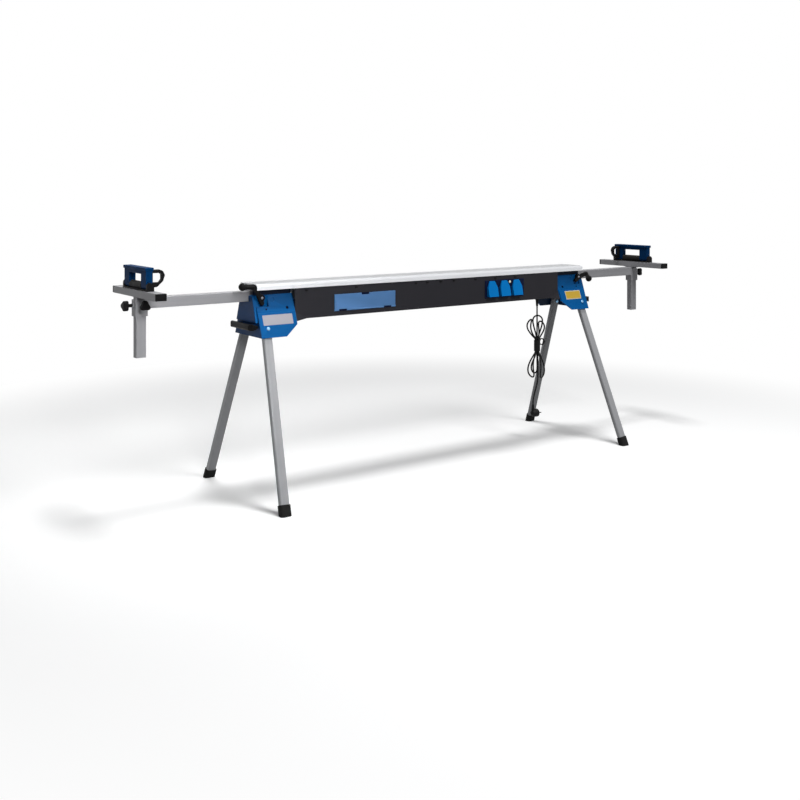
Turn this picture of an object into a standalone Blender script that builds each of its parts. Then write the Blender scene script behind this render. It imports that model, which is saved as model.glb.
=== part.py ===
"""Folding saw stand with two extension arms, as separate solids at rest.

Metres, +Z up, the beam along X, the floor at Z = 0. The stand is drawn as the photograph shows it:
legs out, arms drawn, work supports down on their sleeves, left clamp lever up and right one down.
"""

import math

import bmesh
import bpy
from mathutils import Matrix, Vector

# Gaps
GAP = 0.0003  # between two pieces that touch
RUN = 0.0006  # round a pin or an axle

# Rail and beam
RAIL_TOP = 0.850  # height over the floor
HOUSING_OUTER = 0.913  # distance out to the housings' outer ends
RAIL_SET_IN = 0.001
RAIL_LENGTH = 2 * (HOUSING_OUTER - RAIL_SET_IN)
RAIL_TOP_WIDTH = 0.132
RAIL_WIDTH = 0.150
RAIL_DEPTH = 0.024
RAIL_SHOULDER = 0.008
RAIL_WALL = 0.003
GROOVE_WIDTH = 0.009
GROOVE_DEPTH = 0.0015
GROOVE_INSET = 0.014
BEAM_SET_IN = 0.007
BEAM_LENGTH = 2 * (HOUSING_OUTER - BEAM_SET_IN)
BEAM_WALL = 0.003

# Extension arms
ARM_WIDTH = 0.040
ARM_HEIGHT = 0.042
ARM_WALL = 0.002
TUBE_ROUND = 0.003  # corners of the arm and post tubes
ARM_DROP = 0.029  # rail top to arm top
ARM_LENGTH = 0.990
ARM_REACH = (1.369, 1.356)  # middle of the left and right post from the middle of the stand

# End housings
HOUSING_LENGTH = 0.173
HOUSING_INNER = HOUSING_OUTER - HOUSING_LENGTH
HOUSING_DROP = 0.044
HOUSING_DEPTH = 0.166
HOUSING_WALL = 0.004
END_WALL = 0.006
BOSS_DEPTH = 0.097
BOSS_RAISE = 0.003
CHAMFER_WIDTH = 0.060
CHAMFER_HEIGHT = 0.046
NECK_WIDTH = 0.096
LUG_RADIUS = 0.008
LUG_SPREAD = 0.055
LUG_WIDTH = 0.012
LUG_DROP = 0.168
FACE_HOLES = ((0.138, 0.099, 0.006), (0.043, 0.101, 0.004))  # distance in from the outer end, drop, radius
DISH_SET_IN = 0.075
DISH_X = HOUSING_OUTER - DISH_SET_IN
DISH_DROP = 0.064
DISH_RADIUS = 0.011
DISH_DEPTH = 0.002

# Legs
PIVOT_SET_IN = 0.035
PIVOT_X = HOUSING_OUTER - PIVOT_SET_IN
PIVOT_Y = 0.0845
PIVOT_DROP = 0.182
FOOT_SPREAD = 0.052
FOOT_X = PIVOT_X + FOOT_SPREAD
FOOT_Y = 0.330
LEG_WIDTH = 0.040
LEG_THICKNESS = 0.024
LEG_ROUND = 0.008
LEG_WALL = 0.002
LEG_SIDE_GAP = 0.0006
FOOT_MARGIN = 0.004
FOOT_HEIGHT = 0.040
FOOT_SOLE = 0.013
BOLT_RADIUS = 0.005
BOLT_HEAD_RADIUS = 0.0075
BOLT_HEAD = 0.005
NUT_RADIUS = 0.0085
NUT_HEIGHT = 0.006

# Release handles
BAIL_WIDTH = 0.180
BAIL_REACH = 0.041
BAIL_HEIGHT = 0.024
BAIL_BAR = 0.017
BAIL_SIDE = 0.016
BAIL_CORNER = 0.014
BAIL_PIN_RADIUS = 0.003
BAIL_PIVOT_REACH = 0.0092
BAIL_HUB = 0.0072

# Beam cover, storage bin and lid
COVER_WALL = 0.003
COVER_DEPTH = 0.150
COVER_SET_IN = 0.001
BIN_X = -0.395
BIN_WIDTH = 0.304
BIN_BACK = 0.050
BIN_WALL = 0.0025
BIN_FLANGE = 0.006
LID_WIDTH = 0.311
LID_HEIGHT = 0.070
LID_DROP = 0.060
LID_THICKNESS = 0.004
LID_PROUD = 0.0025
LID_GAP = 0.0010
LID_BARREL = 0.0035
LID_PIN_RADIUS = 0.0015
NOTCH_WIDTH = 0.041
NOTCH_DEPTH = 0.008
LUG_SHARE = 0.366  # hinge gaps from the middle of the lid, over its width
HINGE_GAP_WIDTH = 0.040

# Sockets
SOCKET_X = 0.393
SOCKET_PITCH = 0.076
SOCKET_COUNT = 3
BLOCK_MARGIN = 0.007
BLOCK_DROP = 0.044
BLOCK_HEIGHT = 0.083
BLOCK_BACK = 0.026
BLOCK_PROUD = 0.0035
RECESS_RADIUS = 0.0195
RECESS_DEPTH = 0.017
RECESS_DROP = 0.088
CONTACT_RADIUS = 0.0024
CONTACT_SPREAD = 0.0095
CONTACT_DEPTH = 0.006
FLAP_WIDTH = 0.068
FLAP_HEIGHT = 0.072
FLAP_THICKNESS = 0.0045
FLAP_TAPER_SHARE = 0.32
FLAP_TOP_WIDTH = 0.030
FLAP_PIN_RADIUS = 0.002
FLAP_PIN_LENGTH = 0.036
EAR_WIDTH = 0.004
LAMP_RADIUS = 0.005
LAMP_X = 0.4225
LAMP_DROP = 0.0555
LAMP_HEIGHT = 0.003

# Clamp levers, as the right one lies: places are (outward, up) from the pivot
LEVER_SET_IN = 0.025
LEVER_X = HOUSING_OUTER - LEVER_SET_IN
LEVER_DROP = 0.055
LEVER_SEAT = 0.0565  # the housing's upright pad, from the middle
LEVER_THICKNESS = 0.014
LEVER_HUB = 0.013
LEVER_SHOULDER = (0.0533, 0.0084)
LEVER_GRIP = (0.0907, -0.0221)
LEVER_TAIL = (-0.0156, -0.0156)
LEVER_BAR = 0.0105
LEVER_END_BAR = 0.0088
LEVER_BALL = 0.0140
LEVER_JOG = 0.019  # the ball lies this much nearer the arm
LEVER_PIN_RADIUS = 0.004
LEVER_PIN_END = 0.046
LEVER_RAISED_DEG = 40.0
POCKET_REACH = 0.031
POCKET_DROP = 0.035

# Work supports
POST_WIDTH = 0.040
POST_THICKNESS = 0.030
POST_WALL = 0.002
POST_LENGTH = 0.229
TBAR_WIDTH = 0.042
TBAR_HEIGHT = 0.0265
TBAR_LENGTH = 0.417
TBAR_SHIFT = (0.011, -0.0065)
CAP_LENGTH = 0.008
CAP_INSERT = 0.016
GUSSET_REACH = 0.040
GUSSET_HEIGHT = 0.009
GUSSET_WIDTH = 0.006
SLEEVE_WALL = 0.0038
SLEEVE_HEIGHT = 0.063
SLEEVE_TOP_GAP = 0.001
NUT_BOSS_RADIUS = 0.009
NUT_BOSS_LENGTH = 0.007
KNOB_RADIUS = 0.0175
KNOB_LOBE = 0.0035
KNOB_LENGTH = 0.020
KNOB_NECK_RADIUS = 0.0065
KNOB_NECK = 0.016
KNOB_SCREW_RADIUS = 0.004
KNOB_SHARE = 0.66  # height up the sleeve
REST_SHIFT = (0.015, -0.006)
REST_LENGTH = 0.223
REST_HEIGHT = 0.0875
REST_WIDTH = 0.034
REST_PLATE = 0.012
REST_BEAM = 0.013
COLUMN_LENGTH = 0.049
COLUMN_WIDTH = 0.026
COLUMN_INSET = 0.004
BASE_PLATE = 0.003
BASE_WIDTH = 0.028
BASE_EAR = 0.014
AXLE_RADIUS = 0.004
AXLE_RISE = 0.0155  # over the base plate
ROLLER_RADIUS = 0.0145
GRIP_REACH = 0.055
GRIP_HEIGHT = 0.066
GRIP_BAR = 0.013
GRIP_THICKNESS = 0.018
GRIP_DROP = 0.009
GRIP_SHARE = 0.38  # middle of the grip along the support, over its length

# Mains cord
CORD_SET_IN = 0.068  # from the right housing's inner end
CORD_X = HOUSING_INNER - CORD_SET_IN
CORD_RADIUS = 0.00375
GLAND_RADIUS = 0.011
GLAND_COLLAR = 0.008
RELIEF_LENGTH = 0.036
RELIEF_END_RADIUS = 0.0052
HANK_TOP = 0.575  # where the lead meets the hank
TIE_TOP = 0.492
TIE_BOTTOM = 0.432
STRAND_PITCH = 0.0083
BEND_RADIUS = 0.0232
LOOP_HEIGHTS = (0.096, 0.120, 0.088)
LOOP_LEANS = (0.036, 0.016, 0.020)
DROP_HEIGHTS = (0.122, 0.126)
DROP_LEANS = (0.032, 0.022)
BACK_LOOP_HEIGHT = 0.108
BACK_LOOP_WIDTH = 0.047
HANK_TURN_DEG = 84.0
HANK_END = 0.312
TAIL_SWAY = (0.0085, 0.0038)
LOOP_ARCH = math.radians(135)  # how far round a loop's outward bulge has gone at its tip
LOOP_POINTS = 12
TIE_WALL = 0.003
TIE_LOOP_RADIUS = 0.017
TIE_LOOP_BAR = 0.0032
PLUG_SWAY = 0.017
PLUG_X = CORD_X - PLUG_SWAY
PLUG_TOP = 0.152
PLUG_RADIUS = 0.0195
PLUG_LENGTH = 0.032
PLUG_ENTRY_SWAY = 0.027
PLUG_ENTRY_X = CORD_X - PLUG_ENTRY_SWAY
PLUG_RELIEF = 0.024
PIN_RADIUS = 0.0024
PIN_LENGTH = 0.019
PIN_SPREAD = 0.0095

BLUE = ((0.004, 0.085, 0.34), 0.0, 0.38)
LID_BLUE = ((0.07, 0.22, 0.50), 0.0, 0.35)
BLACK = ((0.012, 0.012, 0.014), 0.0, 0.55)
RUBBER = ((0.010, 0.010, 0.010), 0.0, 0.85)
ALUMINIUM = ((0.62, 0.63, 0.64), 0.9, 0.38)
STEEL = ((0.45, 0.45, 0.47), 1.0, 0.35)
LAMP = ((0.85, 0.80, 0.62), 0.0, 0.30)
NAVY = ((0.006, 0.03, 0.12), 0.0, 0.45)

SIDES = (("left", -1), ("right", 1))


def clear_scene():
    for obj in list(bpy.data.objects):
        bpy.data.objects.remove(obj, do_unlink=True)


clear_scene()
PARTS = bpy.data.collections.new("saw_stand")
CUTTERS = bpy.data.collections.new("cutters")
for group in (PARTS, CUTTERS):
    bpy.context.scene.collection.children.link(group)
CUTTERS.hide_render = True


def principled(name, finish):
    colour, metallic, roughness = finish
    material = bpy.data.materials.new(name)
    material.use_nodes = True
    shader = material.node_tree.nodes["Principled BSDF"]
    shader.inputs["Base Color"].default_value = (*colour, 1.0)
    shader.inputs["Metallic"].default_value = metallic
    shader.inputs["Roughness"].default_value = roughness
    material.diffuse_color = (*colour, 1.0)
    return material


def new_object(name, bm, finish=None):
    """An object of the mesh: a part when it has a finish, else a helper that only cuts or joins."""
    bmesh.ops.remove_doubles(bm, verts=bm.verts, dist=1e-7)
    bmesh.ops.recalc_face_normals(bm, faces=bm.faces)
    mesh = bpy.data.meshes.new(name)
    bm.to_mesh(mesh)
    bm.free()
    obj = bpy.data.objects.new(name, mesh)
    if finish:
        mesh.materials.append(principled(name, finish))
        PARTS.objects.link(obj)
    else:
        obj.hide_render = True
        obj.display_type = "WIRE"
        CUTTERS.objects.link(obj)
    return obj


def prism(name, outline, low, high, axis, finish=None):
    """The closed outline drawn out along an axis. Outlines are (y, z), (x, z) or (x, y)."""
    spot = {
        "X": lambda a, b, c: (c, a, b),
        "Y": lambda a, b, c: (a, c, b),
        "Z": lambda a, b, c: (a, b, c),
    }[axis]
    bm = bmesh.new()
    rings = [[bm.verts.new(spot(a, b, c)) for a, b in outline] for c in (low, high)]
    bm.faces.new(rings[0])
    bm.faces.new(rings[1])
    for i in range(len(outline)):
        j = (i + 1) % len(outline)
        bm.faces.new((rings[0][i], rings[0][j], rings[1][j], rings[1][i]))
    return new_object(name, bm, finish)


def block(name, x, y, z, finish=None):
    """A box between the low and high of each axis, in either order."""
    (xa, xb), (ya, yb), (za, zb) = sorted(x), sorted(y), sorted(z)
    return prism(name, [(xa, ya), (xb, ya), (xb, yb), (xa, yb)], za, zb, "Z", finish)


def turned(name, rings, axis="Z", at=(0, 0, 0), sides=24, finish=None):
    """A solid turned about an axis through a point, from (distance along, radius) rings."""
    toward = {"X": (0, 1, 2), "Y": (1, 0, 2), "Z": (2, 0, 1)}[axis]
    bm = bmesh.new()
    loops = []
    for along, radius in rings:
        loop = []
        for i in range(sides):
            turn = 2 * math.pi * (i + 0.5) / sides
            spot = [0.0, 0.0, 0.0]
            spot[toward[0]] = along
            spot[toward[1]] = radius * math.cos(turn)
            spot[toward[2]] = radius * math.sin(turn)
            loop.append(bm.verts.new([a + b for a, b in zip(spot, at)]))
        loops.append(loop)
    bm.faces.new(loops[0])
    bm.faces.new(loops[-1])
    for low, high in zip(loops, loops[1:]):
        for i in range(sides):
            j = (i + 1) % sides
            bm.faces.new((low[i], low[j], high[j], high[i]))
    return new_object(name, bm, finish)


def rod(name, radius, low, high, axis="Z", at=(0, 0, 0), sides=16, finish=None):
    return turned(name, [(low, radius), (high, radius)], axis, at, sides, finish)


def rounded(width, height, radius, steps=3, middle=(0, 0)):
    """A rectangle outline with round corners."""
    points = []
    for k, (sx, sy) in enumerate(((1, 1), (-1, 1), (-1, -1), (1, -1))):
        for i in range(steps + 1):
            turn = math.radians(90 * (k + i / steps))
            points.append((
                middle[0] + sx * (width / 2 - radius) + radius * math.cos(turn),
                middle[1] + sy * (height / 2 - radius) + radius * math.sin(turn),
            ))
    return points


def disc(radius, middle=(0, 0), sides=24, start=0.0, sweep=360.0):
    count = sides if sweep == 360.0 else sides + 1
    return [
        (
            middle[0] + radius * math.cos(math.radians(start + sweep * i / sides)),
            middle[1] + radius * math.sin(math.radians(start + sweep * i / sides)),
        )
        for i in range(count)
    ]


def capsule(a, b, radius, steps=6):
    """The outline of a bar with round ends between two points."""
    heading = math.degrees(math.atan2(b[1] - a[1], b[0] - a[0]))
    return disc(radius, b, steps, heading - 90, 180) + disc(radius, a, steps, heading + 90, 180)


def boolean(target, tool, operation):
    change = target.modifiers.new(f"{operation.lower()} {tool.name}", "BOOLEAN")
    change.operation = operation
    change.solver = "EXACT"
    change.object = tool


def cut(target, *tools):
    for tool in tools:
        boolean(target, tool, "DIFFERENCE")


def join(target, *tools):
    for tool in tools:
        boolean(target, tool, "UNION")


def soften(obj, width, segments=1, angle=50.0):
    edge = obj.modifiers.new("edges", "BEVEL")
    edge.width = width
    edge.segments = segments
    edge.limit_method = "ANGLE"
    edge.angle_limit = math.radians(angle)


def move(obj, matrix):
    """Moves the mesh itself, so that helpers and parts share one frame."""
    obj.data.transform(matrix)
    if matrix.determinant() < 0:
        obj.data.flip_normals()


def set_origin(obj, point):
    """Puts the origin on the joint axis and leaves the shape where it is."""
    obj.data.transform(Matrix.Translation(-Vector(point)))
    obj.location = Vector(point)


# Heights and faces that several pieces share
ARM_TOP = RAIL_TOP - ARM_DROP
ARM_BOTTOM = ARM_TOP - ARM_HEIGHT
BEAM_TOP = RAIL_TOP - RAIL_WALL - GROOVE_DEPTH - GAP
BEAM_BOTTOM = ARM_BOTTOM - GAP - BEAM_WALL
BEAM_HALF = ARM_WIDTH / 2 + GAP + BEAM_WALL
HOUSING_TOP = RAIL_TOP - HOUSING_DROP
HOUSING_BOTTOM = HOUSING_TOP - HOUSING_DEPTH
PIVOT_Z = RAIL_TOP - PIVOT_DROP
SLOPE = (FOOT_Y - PIVOT_Y) / PIVOT_Z
LEAN = math.hypot(1.0, SLOPE)  # distance across Y for 1 of distance square to the leg's plane
COVER_BOTTOM = RAIL_TOP - COVER_DEPTH
COVER_TOP = RAIL_TOP - RAIL_DEPTH - GAP
COVER_FACE = RAIL_WIDTH / 2 - COVER_SET_IN


def slope_y(z, outward=0.0):
    """Distance from the middle of the leg's sloping plane at height z, moved outward square to it."""
    return PIVOT_Y + (PIVOT_Z - z) * SLOPE + outward * LEAN


FACE_OUT = LEG_THICKNESS / 2 + LEG_SIDE_GAP + HOUSING_WALL


def mirror_outline(half):
    """A closed outline from its +Y half, listed from the bottom up."""
    return half + [(-y, z) for y, z in reversed(half)]


def build_rail():
    top, low = RAIL_TOP, RAIL_TOP - RAIL_DEPTH
    groove = RAIL_TOP_WIDTH / 2 - GROOVE_INSET
    inner = RAIL_WIDTH / 2 - RAIL_WALL
    under = top - RAIL_WALL - GROOVE_DEPTH
    half = [
        (inner, low), (RAIL_WIDTH / 2, low), (RAIL_WIDTH / 2, top - RAIL_SHOULDER),
        (RAIL_TOP_WIDTH / 2, top), (groove, top), (groove, top - GROOVE_DEPTH),
        (groove - GROOVE_WIDTH, top - GROOVE_DEPTH), (groove - GROOVE_WIDTH, top),
    ]
    shoulder = under - RAIL_SHOULDER / 2
    inside = [(inner, low), (inner, shoulder), (RAIL_TOP_WIDTH / 2 - RAIL_WALL, under)]
    outline = half + [(-y, z) for y, z in reversed(half)]
    outline += [(-y, z) for y, z in inside[1:]] + list(reversed(inside[1:]))
    prism("top_rail", outline, -RAIL_LENGTH / 2, RAIL_LENGTH / 2, "X", ALUMINIUM)

    beam = prism(
        "beam",
        [(BEAM_HALF, BEAM_BOTTOM), (BEAM_HALF, BEAM_TOP), (-BEAM_HALF, BEAM_TOP), (-BEAM_HALF, BEAM_BOTTOM)],
        -BEAM_LENGTH / 2, BEAM_LENGTH / 2, "X", ALUMINIUM,
    )
    past = (-RAIL_LENGTH, RAIL_LENGTH)
    bore = block(
        "arm_bore", past, (-ARM_WIDTH / 2 - GAP, ARM_WIDTH / 2 + GAP),
        (ARM_BOTTOM - GAP, ARM_TOP + GAP),
    )
    upper = block(
        "upper_bore", past, (-ARM_WIDTH / 2, ARM_WIDTH / 2),
        (ARM_TOP + GAP + BEAM_WALL, BEAM_TOP - BEAM_WALL),
    )
    cut(beam, bore, upper)


def build_housing(side_name, side):
    inner, outer = side * HOUSING_INNER, side * HOUSING_OUTER
    shell = prism(
        f"housing_{side_name}",
        mirror_outline([
            (slope_y(HOUSING_BOTTOM, FACE_OUT), HOUSING_BOTTOM),
            (slope_y(HOUSING_TOP, FACE_OUT), HOUSING_TOP),
        ]),
        inner, outer, "X", BLUE,
    )
    boss_top = HOUSING_BOTTOM + BOSS_DEPTH
    raised = FACE_OUT + BOSS_RAISE
    bosses = prism(
        f"bosses_{side_name}",
        mirror_outline([
            (slope_y(HOUSING_BOTTOM, raised), HOUSING_BOTTOM),
            (slope_y(boss_top - BOSS_RAISE, raised), boss_top - BOSS_RAISE),
            (slope_y(boss_top, FACE_OUT - BOSS_RAISE / 2), boss_top),
        ]),
        side * (HOUSING_INNER + BOSS_RAISE), outer, "X",
    )
    half = slope_y(HOUSING_TOP, LEG_THICKNESS / 2 + LEG_SIDE_GAP)
    roof = HOUSING_TOP - HOUSING_WALL
    hollow = prism(
        f"hollow_{side_name}",
        mirror_outline([
            (slope_y(HOUSING_BOTTOM - RUN, FACE_OUT - HOUSING_WALL), HOUSING_BOTTOM - RUN),
            (slope_y(roof, FACE_OUT - HOUSING_WALL), roof),
        ]),
        side * (HOUSING_INNER - END_WALL), side * (HOUSING_OUTER - END_WALL), "X",
    )
    neck = block(
        f"neck_{side_name}", (side * (HOUSING_INNER + END_WALL), side * (HOUSING_OUTER - END_WALL)),
        (-NECK_WIDTH / 2, NECK_WIDTH / 2), (roof, BEAM_TOP),
    )
    tunnel = block(
        f"tunnel_{side_name}", (side * (HOUSING_INNER - END_WALL), side * (HOUSING_OUTER - END_WALL)),
        (-BEAM_HALF - GAP, BEAM_HALF + GAP), (BEAM_BOTTOM - GAP, RAIL_TOP),
    )
    arm_way = block(
        f"arm_way_{side_name}", (side * (HOUSING_INNER - END_WALL), side * (HOUSING_OUTER + END_WALL)),
        (-ARM_WIDTH / 2 - GAP, ARM_WIDTH / 2 + GAP), (ARM_BOTTOM - GAP, ARM_TOP + GAP),
    )
    chamfer = prism(
        f"chamfer_{side_name}",
        [
            (side * (HOUSING_INNER - END_WALL), HOUSING_BOTTOM - END_WALL),
            (side * (HOUSING_INNER + CHAMFER_WIDTH), HOUSING_BOTTOM - END_WALL),
            (side * (HOUSING_INNER + CHAMFER_WIDTH), HOUSING_BOTTOM),
            (side * HOUSING_INNER, HOUSING_BOTTOM + CHAMFER_HEIGHT),
            (side * (HOUSING_INNER - END_WALL), HOUSING_BOTTOM + CHAMFER_HEIGHT),
        ],
        -HOUSING_INNER / 2, HOUSING_INNER / 2, "Y",
    )
    soften(shell, RUN * 2)
    join(shell, bosses)
    cut(shell, hollow)
    join(shell, neck)
    pad_low = RAIL_TOP - LEVER_DROP - POCKET_DROP - HOUSING_WALL
    pad_turn = PIVOT_Z + (PIVOT_Y + (FACE_OUT - RUN) * LEAN - LEVER_SEAT) / SLOPE
    pad = prism(
        f"lever_pad_{side_name}",
        [
            (-LEVER_SEAT + HOUSING_WALL, pad_low), (-slope_y(pad_low, FACE_OUT - RUN), pad_low),
            (-LEVER_SEAT, pad_turn), (-LEVER_SEAT, HOUSING_TOP - RUN),
            (-LEVER_SEAT + HOUSING_WALL, HOUSING_TOP - RUN),
        ],
        side * (LEVER_X - POCKET_REACH - HOUSING_WALL), side * (HOUSING_OUTER - RUN), "X",
    )
    pocket = block(
        f"lever_pocket_{side_name}", (side * (LEVER_X - POCKET_REACH), side * (HOUSING_OUTER + END_WALL)),
        (-RAIL_WIDTH, -LEVER_SEAT), (pad_low + HOUSING_WALL, RAIL_TOP),
    )
    join(shell, pad)
    cut(shell, tunnel, arm_way, chamfer, pocket)
    lug_z = RAIL_TOP - LUG_DROP
    for k in (-1, 1):
        lug_x = side * (HOUSING_OUTER + BAIL_PIVOT_REACH)
        ear = prism(
            f"lug_{side_name}_{k}",
            capsule((side * (HOUSING_OUTER - END_WALL / 2), lug_z), (lug_x, lug_z), LUG_RADIUS, 4),
            k * LUG_SPREAD - LUG_WIDTH / 2, k * LUG_SPREAD + LUG_WIDTH / 2, "Y",
        )
        trim = block(
            f"trim_{side_name}_{k}",
            (side * (HOUSING_OUTER - END_WALL - LUG_RADIUS * 2), side * (HOUSING_OUTER - END_WALL)),
            (-HOUSING_INNER / 2, HOUSING_INNER / 2), (lug_z - LUG_RADIUS * 2, lug_z + LUG_RADIUS * 2),
        )
        cut(ear, trim)
        join(shell, ear)
    bail_hole = rod(
        f"bail_hole_{side_name}", BAIL_PIN_RADIUS + RUN, -LUG_SPREAD * 2, LUG_SPREAD * 2, "Y",
        (side * (HOUSING_OUTER + BAIL_PIVOT_REACH), 0, lug_z), 12,
    )
    lever_hole = rod(
        f"lever_hole_{side_name}", LEVER_PIN_RADIUS + RUN, -RAIL_WIDTH, -LEVER_PIN_END + RUN, "Y",
        (side * LEVER_X, 0, RAIL_TOP - LEVER_DROP), 16,
    )
    cut(shell, bail_hole, lever_hole)
    spots = [(HOUSING_OUTER - inset, drop, radius, HOUSING_WALL * 2) for inset, drop, radius in FACE_HOLES]
    spots.append((DISH_X, DISH_DROP, DISH_RADIUS, DISH_DEPTH))
    for k, (x, drop, radius, depth) in enumerate(spots):
        z = RAIL_TOP - drop
        place = leg_frame(side, -1)
        place.translation = (side * x, -slope_y(z, FACE_OUT), z)
        hole = rod(f"face_hole_{side_name}_{k}", radius, -depth, HOUSING_WALL, "Y", sides=16)
        move(hole, place)
        cut(shell, hole)
    for k in (-1, 1):
        hole = rod(f"bolt_hole_{side_name}_{k}", BOLT_RADIUS + GAP, -RAIL_DEPTH, RAIL_WIDTH, "Y", sides=16)
        move(hole, leg_frame(side, k))
        cut(shell, hole)
    return shell


def leg_frame(side, row):
    """The matrix of a leg's own frame: Z up the leg from the pivot, Y out through its bolt."""
    pivot = Vector((side * PIVOT_X, row * PIVOT_Y, PIVOT_Z))
    foot = Vector((side * FOOT_X, row * FOOT_Y, 0))
    up = (pivot - foot).normalized()
    out = Vector((0, row * 1.0, SLOPE)).normalized()
    across = out.cross(up).normalized()
    rows = Matrix((across, out, up)).transposed().to_4x4()
    return Matrix.Translation(pivot) @ rows


def build_leg(side_name, side, row_name, row):
    frame = leg_frame(side, row)
    length = math.sqrt((FOOT_X - PIVOT_X) ** 2 + (FOOT_Y - PIVOT_Y) ** 2 + PIVOT_Z**2)
    name = f"{row_name}_{side_name}"
    top = LEG_WIDTH / 2
    sole = -length + FOOT_SOLE
    leg = prism(f"leg_{name}", rounded(LEG_WIDTH, LEG_THICKNESS, LEG_ROUND), sole, top, "Z", ALUMINIUM)
    stadium = prism(
        f"leg_end_{name}",
        [(LEG_WIDTH, sole - top), (LEG_WIDTH / 2, 0)] + disc(LEG_WIDTH / 2, (0, 0), 12, 0, 180)[1:-1]
        + [(-LEG_WIDTH / 2, 0), (-LEG_WIDTH, sole - top)],
        -LEG_THICKNESS, LEG_THICKNESS, "Y",
    )
    bore = prism(
        f"leg_bore_{name}",
        rounded(LEG_WIDTH - 2 * LEG_WALL, LEG_THICKNESS - 2 * LEG_WALL, LEG_ROUND - LEG_WALL),
        sole - LEG_WALL, -top - LEG_WALL, "Z",
    )
    hole = rod(f"leg_hole_{name}", BOLT_RADIUS + GAP, -LEG_THICKNESS, LEG_THICKNESS, "Y", sides=16)
    boolean(leg, stadium, "INTERSECT")
    cut(leg, bore, hole)

    margin = 2 * FOOT_MARGIN
    deep = -length - FOOT_HEIGHT
    foot = prism(
        f"foot_{name}",
        rounded(LEG_WIDTH + margin, LEG_THICKNESS + margin, LEG_ROUND + FOOT_MARGIN),
        deep, sole + FOOT_HEIGHT - FOOT_SOLE, "Z", RUBBER,
    )
    pocket = prism(
        f"foot_pocket_{name}",
        rounded(LEG_WIDTH + 2 * GAP, LEG_THICKNESS + 2 * GAP, LEG_ROUND + GAP),
        sole - GAP, 0, "Z",
    )
    floor = block(
        f"floor_{name}", (-HOUSING_INNER * 2, HOUSING_INNER * 2), (-HOUSING_INNER, HOUSING_INNER),
        (-HOUSING_INNER, 0),
    )
    cut(foot, pocket, floor)

    shank = LEG_THICKNESS / 2 + LEG_SIDE_GAP + HOUSING_WALL + BOSS_RAISE + GAP
    inside = -LEG_THICKNESS / 2 - LEG_SIDE_GAP
    bolt = turned(
        f"leg_bolt_{name}",
        [
            (inside - NUT_HEIGHT - RUN, BOLT_RADIUS), (inside - NUT_HEIGHT, NUT_RADIUS),
            (inside, NUT_RADIUS), (inside + GAP / 2, BOLT_RADIUS), (shank - GAP / 2, BOLT_RADIUS),
            (shank, BOLT_HEAD_RADIUS), (shank + BOLT_HEAD * 0.6, BOLT_HEAD_RADIUS),
            (shank + BOLT_HEAD, BOLT_HEAD_RADIUS * 0.6),
        ],
        "Y", sides=12, finish=STEEL,
    )
    for obj in (leg, stadium, bore, hole, foot, pocket, bolt):
        move(obj, frame)
    for obj in (leg, foot, bolt):
        set_origin(obj, frame.translation)


def build_bail(side_name, side):
    """The leg release handle: a looped paddle on a pin through the housing's two lugs."""
    pin_x = HOUSING_OUTER + BAIL_PIVOT_REACH
    pin_z = RAIL_TOP - LUG_DROP
    reach = HOUSING_OUTER + BAIL_REACH
    half = BAIL_HEIGHT / 2
    bar_x = reach - BAIL_BAR
    outline = [
        (side * x, z)
        for x, z in disc(BAIL_HUB, (pin_x, pin_z), 8, 90, 180)
        + [(bar_x, pin_z - half), (reach - half / 3, pin_z - half), (reach, pin_z - half * 0.6),
           (reach, pin_z + half * 0.6), (reach - half / 3, pin_z + half), (bar_x, pin_z + half)]
    ]
    bail = prism(f"release_handle_{side_name}", outline, -BAIL_WIDTH / 2, BAIL_WIDTH / 2, "Y", BLACK)
    soften(bail, RUN * 2, 1, 60)
    window = block(
        f"bail_window_{side_name}", (side * HOUSING_INNER, side * bar_x),
        (-BAIL_WIDTH / 2 + BAIL_SIDE, BAIL_WIDTH / 2 - BAIL_SIDE), (pin_z - half * 2, pin_z + half * 2),
    )
    cut(bail, window)
    for k in (-1, 1):
        corner = [
            (side * (reach + RUN), k * (BAIL_WIDTH / 2 - BAIL_CORNER)),
            (side * (reach + RUN), k * (BAIL_WIDTH / 2 + RUN)),
            (side * (reach - BAIL_CORNER), k * (BAIL_WIDTH / 2 + RUN)),
        ]
        cut(bail, prism(f"bail_corner_{side_name}_{k}", corner, pin_z - half * 2, pin_z + half * 2, "Z"))
    pin = rod(
        f"bail_pin_{side_name}", BAIL_PIN_RADIUS, -BAIL_WIDTH / 2 + BAIL_SIDE / 2,
        BAIL_WIDTH / 2 - BAIL_SIDE / 2, "Y", (side * pin_x, 0, pin_z), 12,
    )
    join(bail, pin)
    set_origin(bail, (side * pin_x, 0, pin_z))


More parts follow.
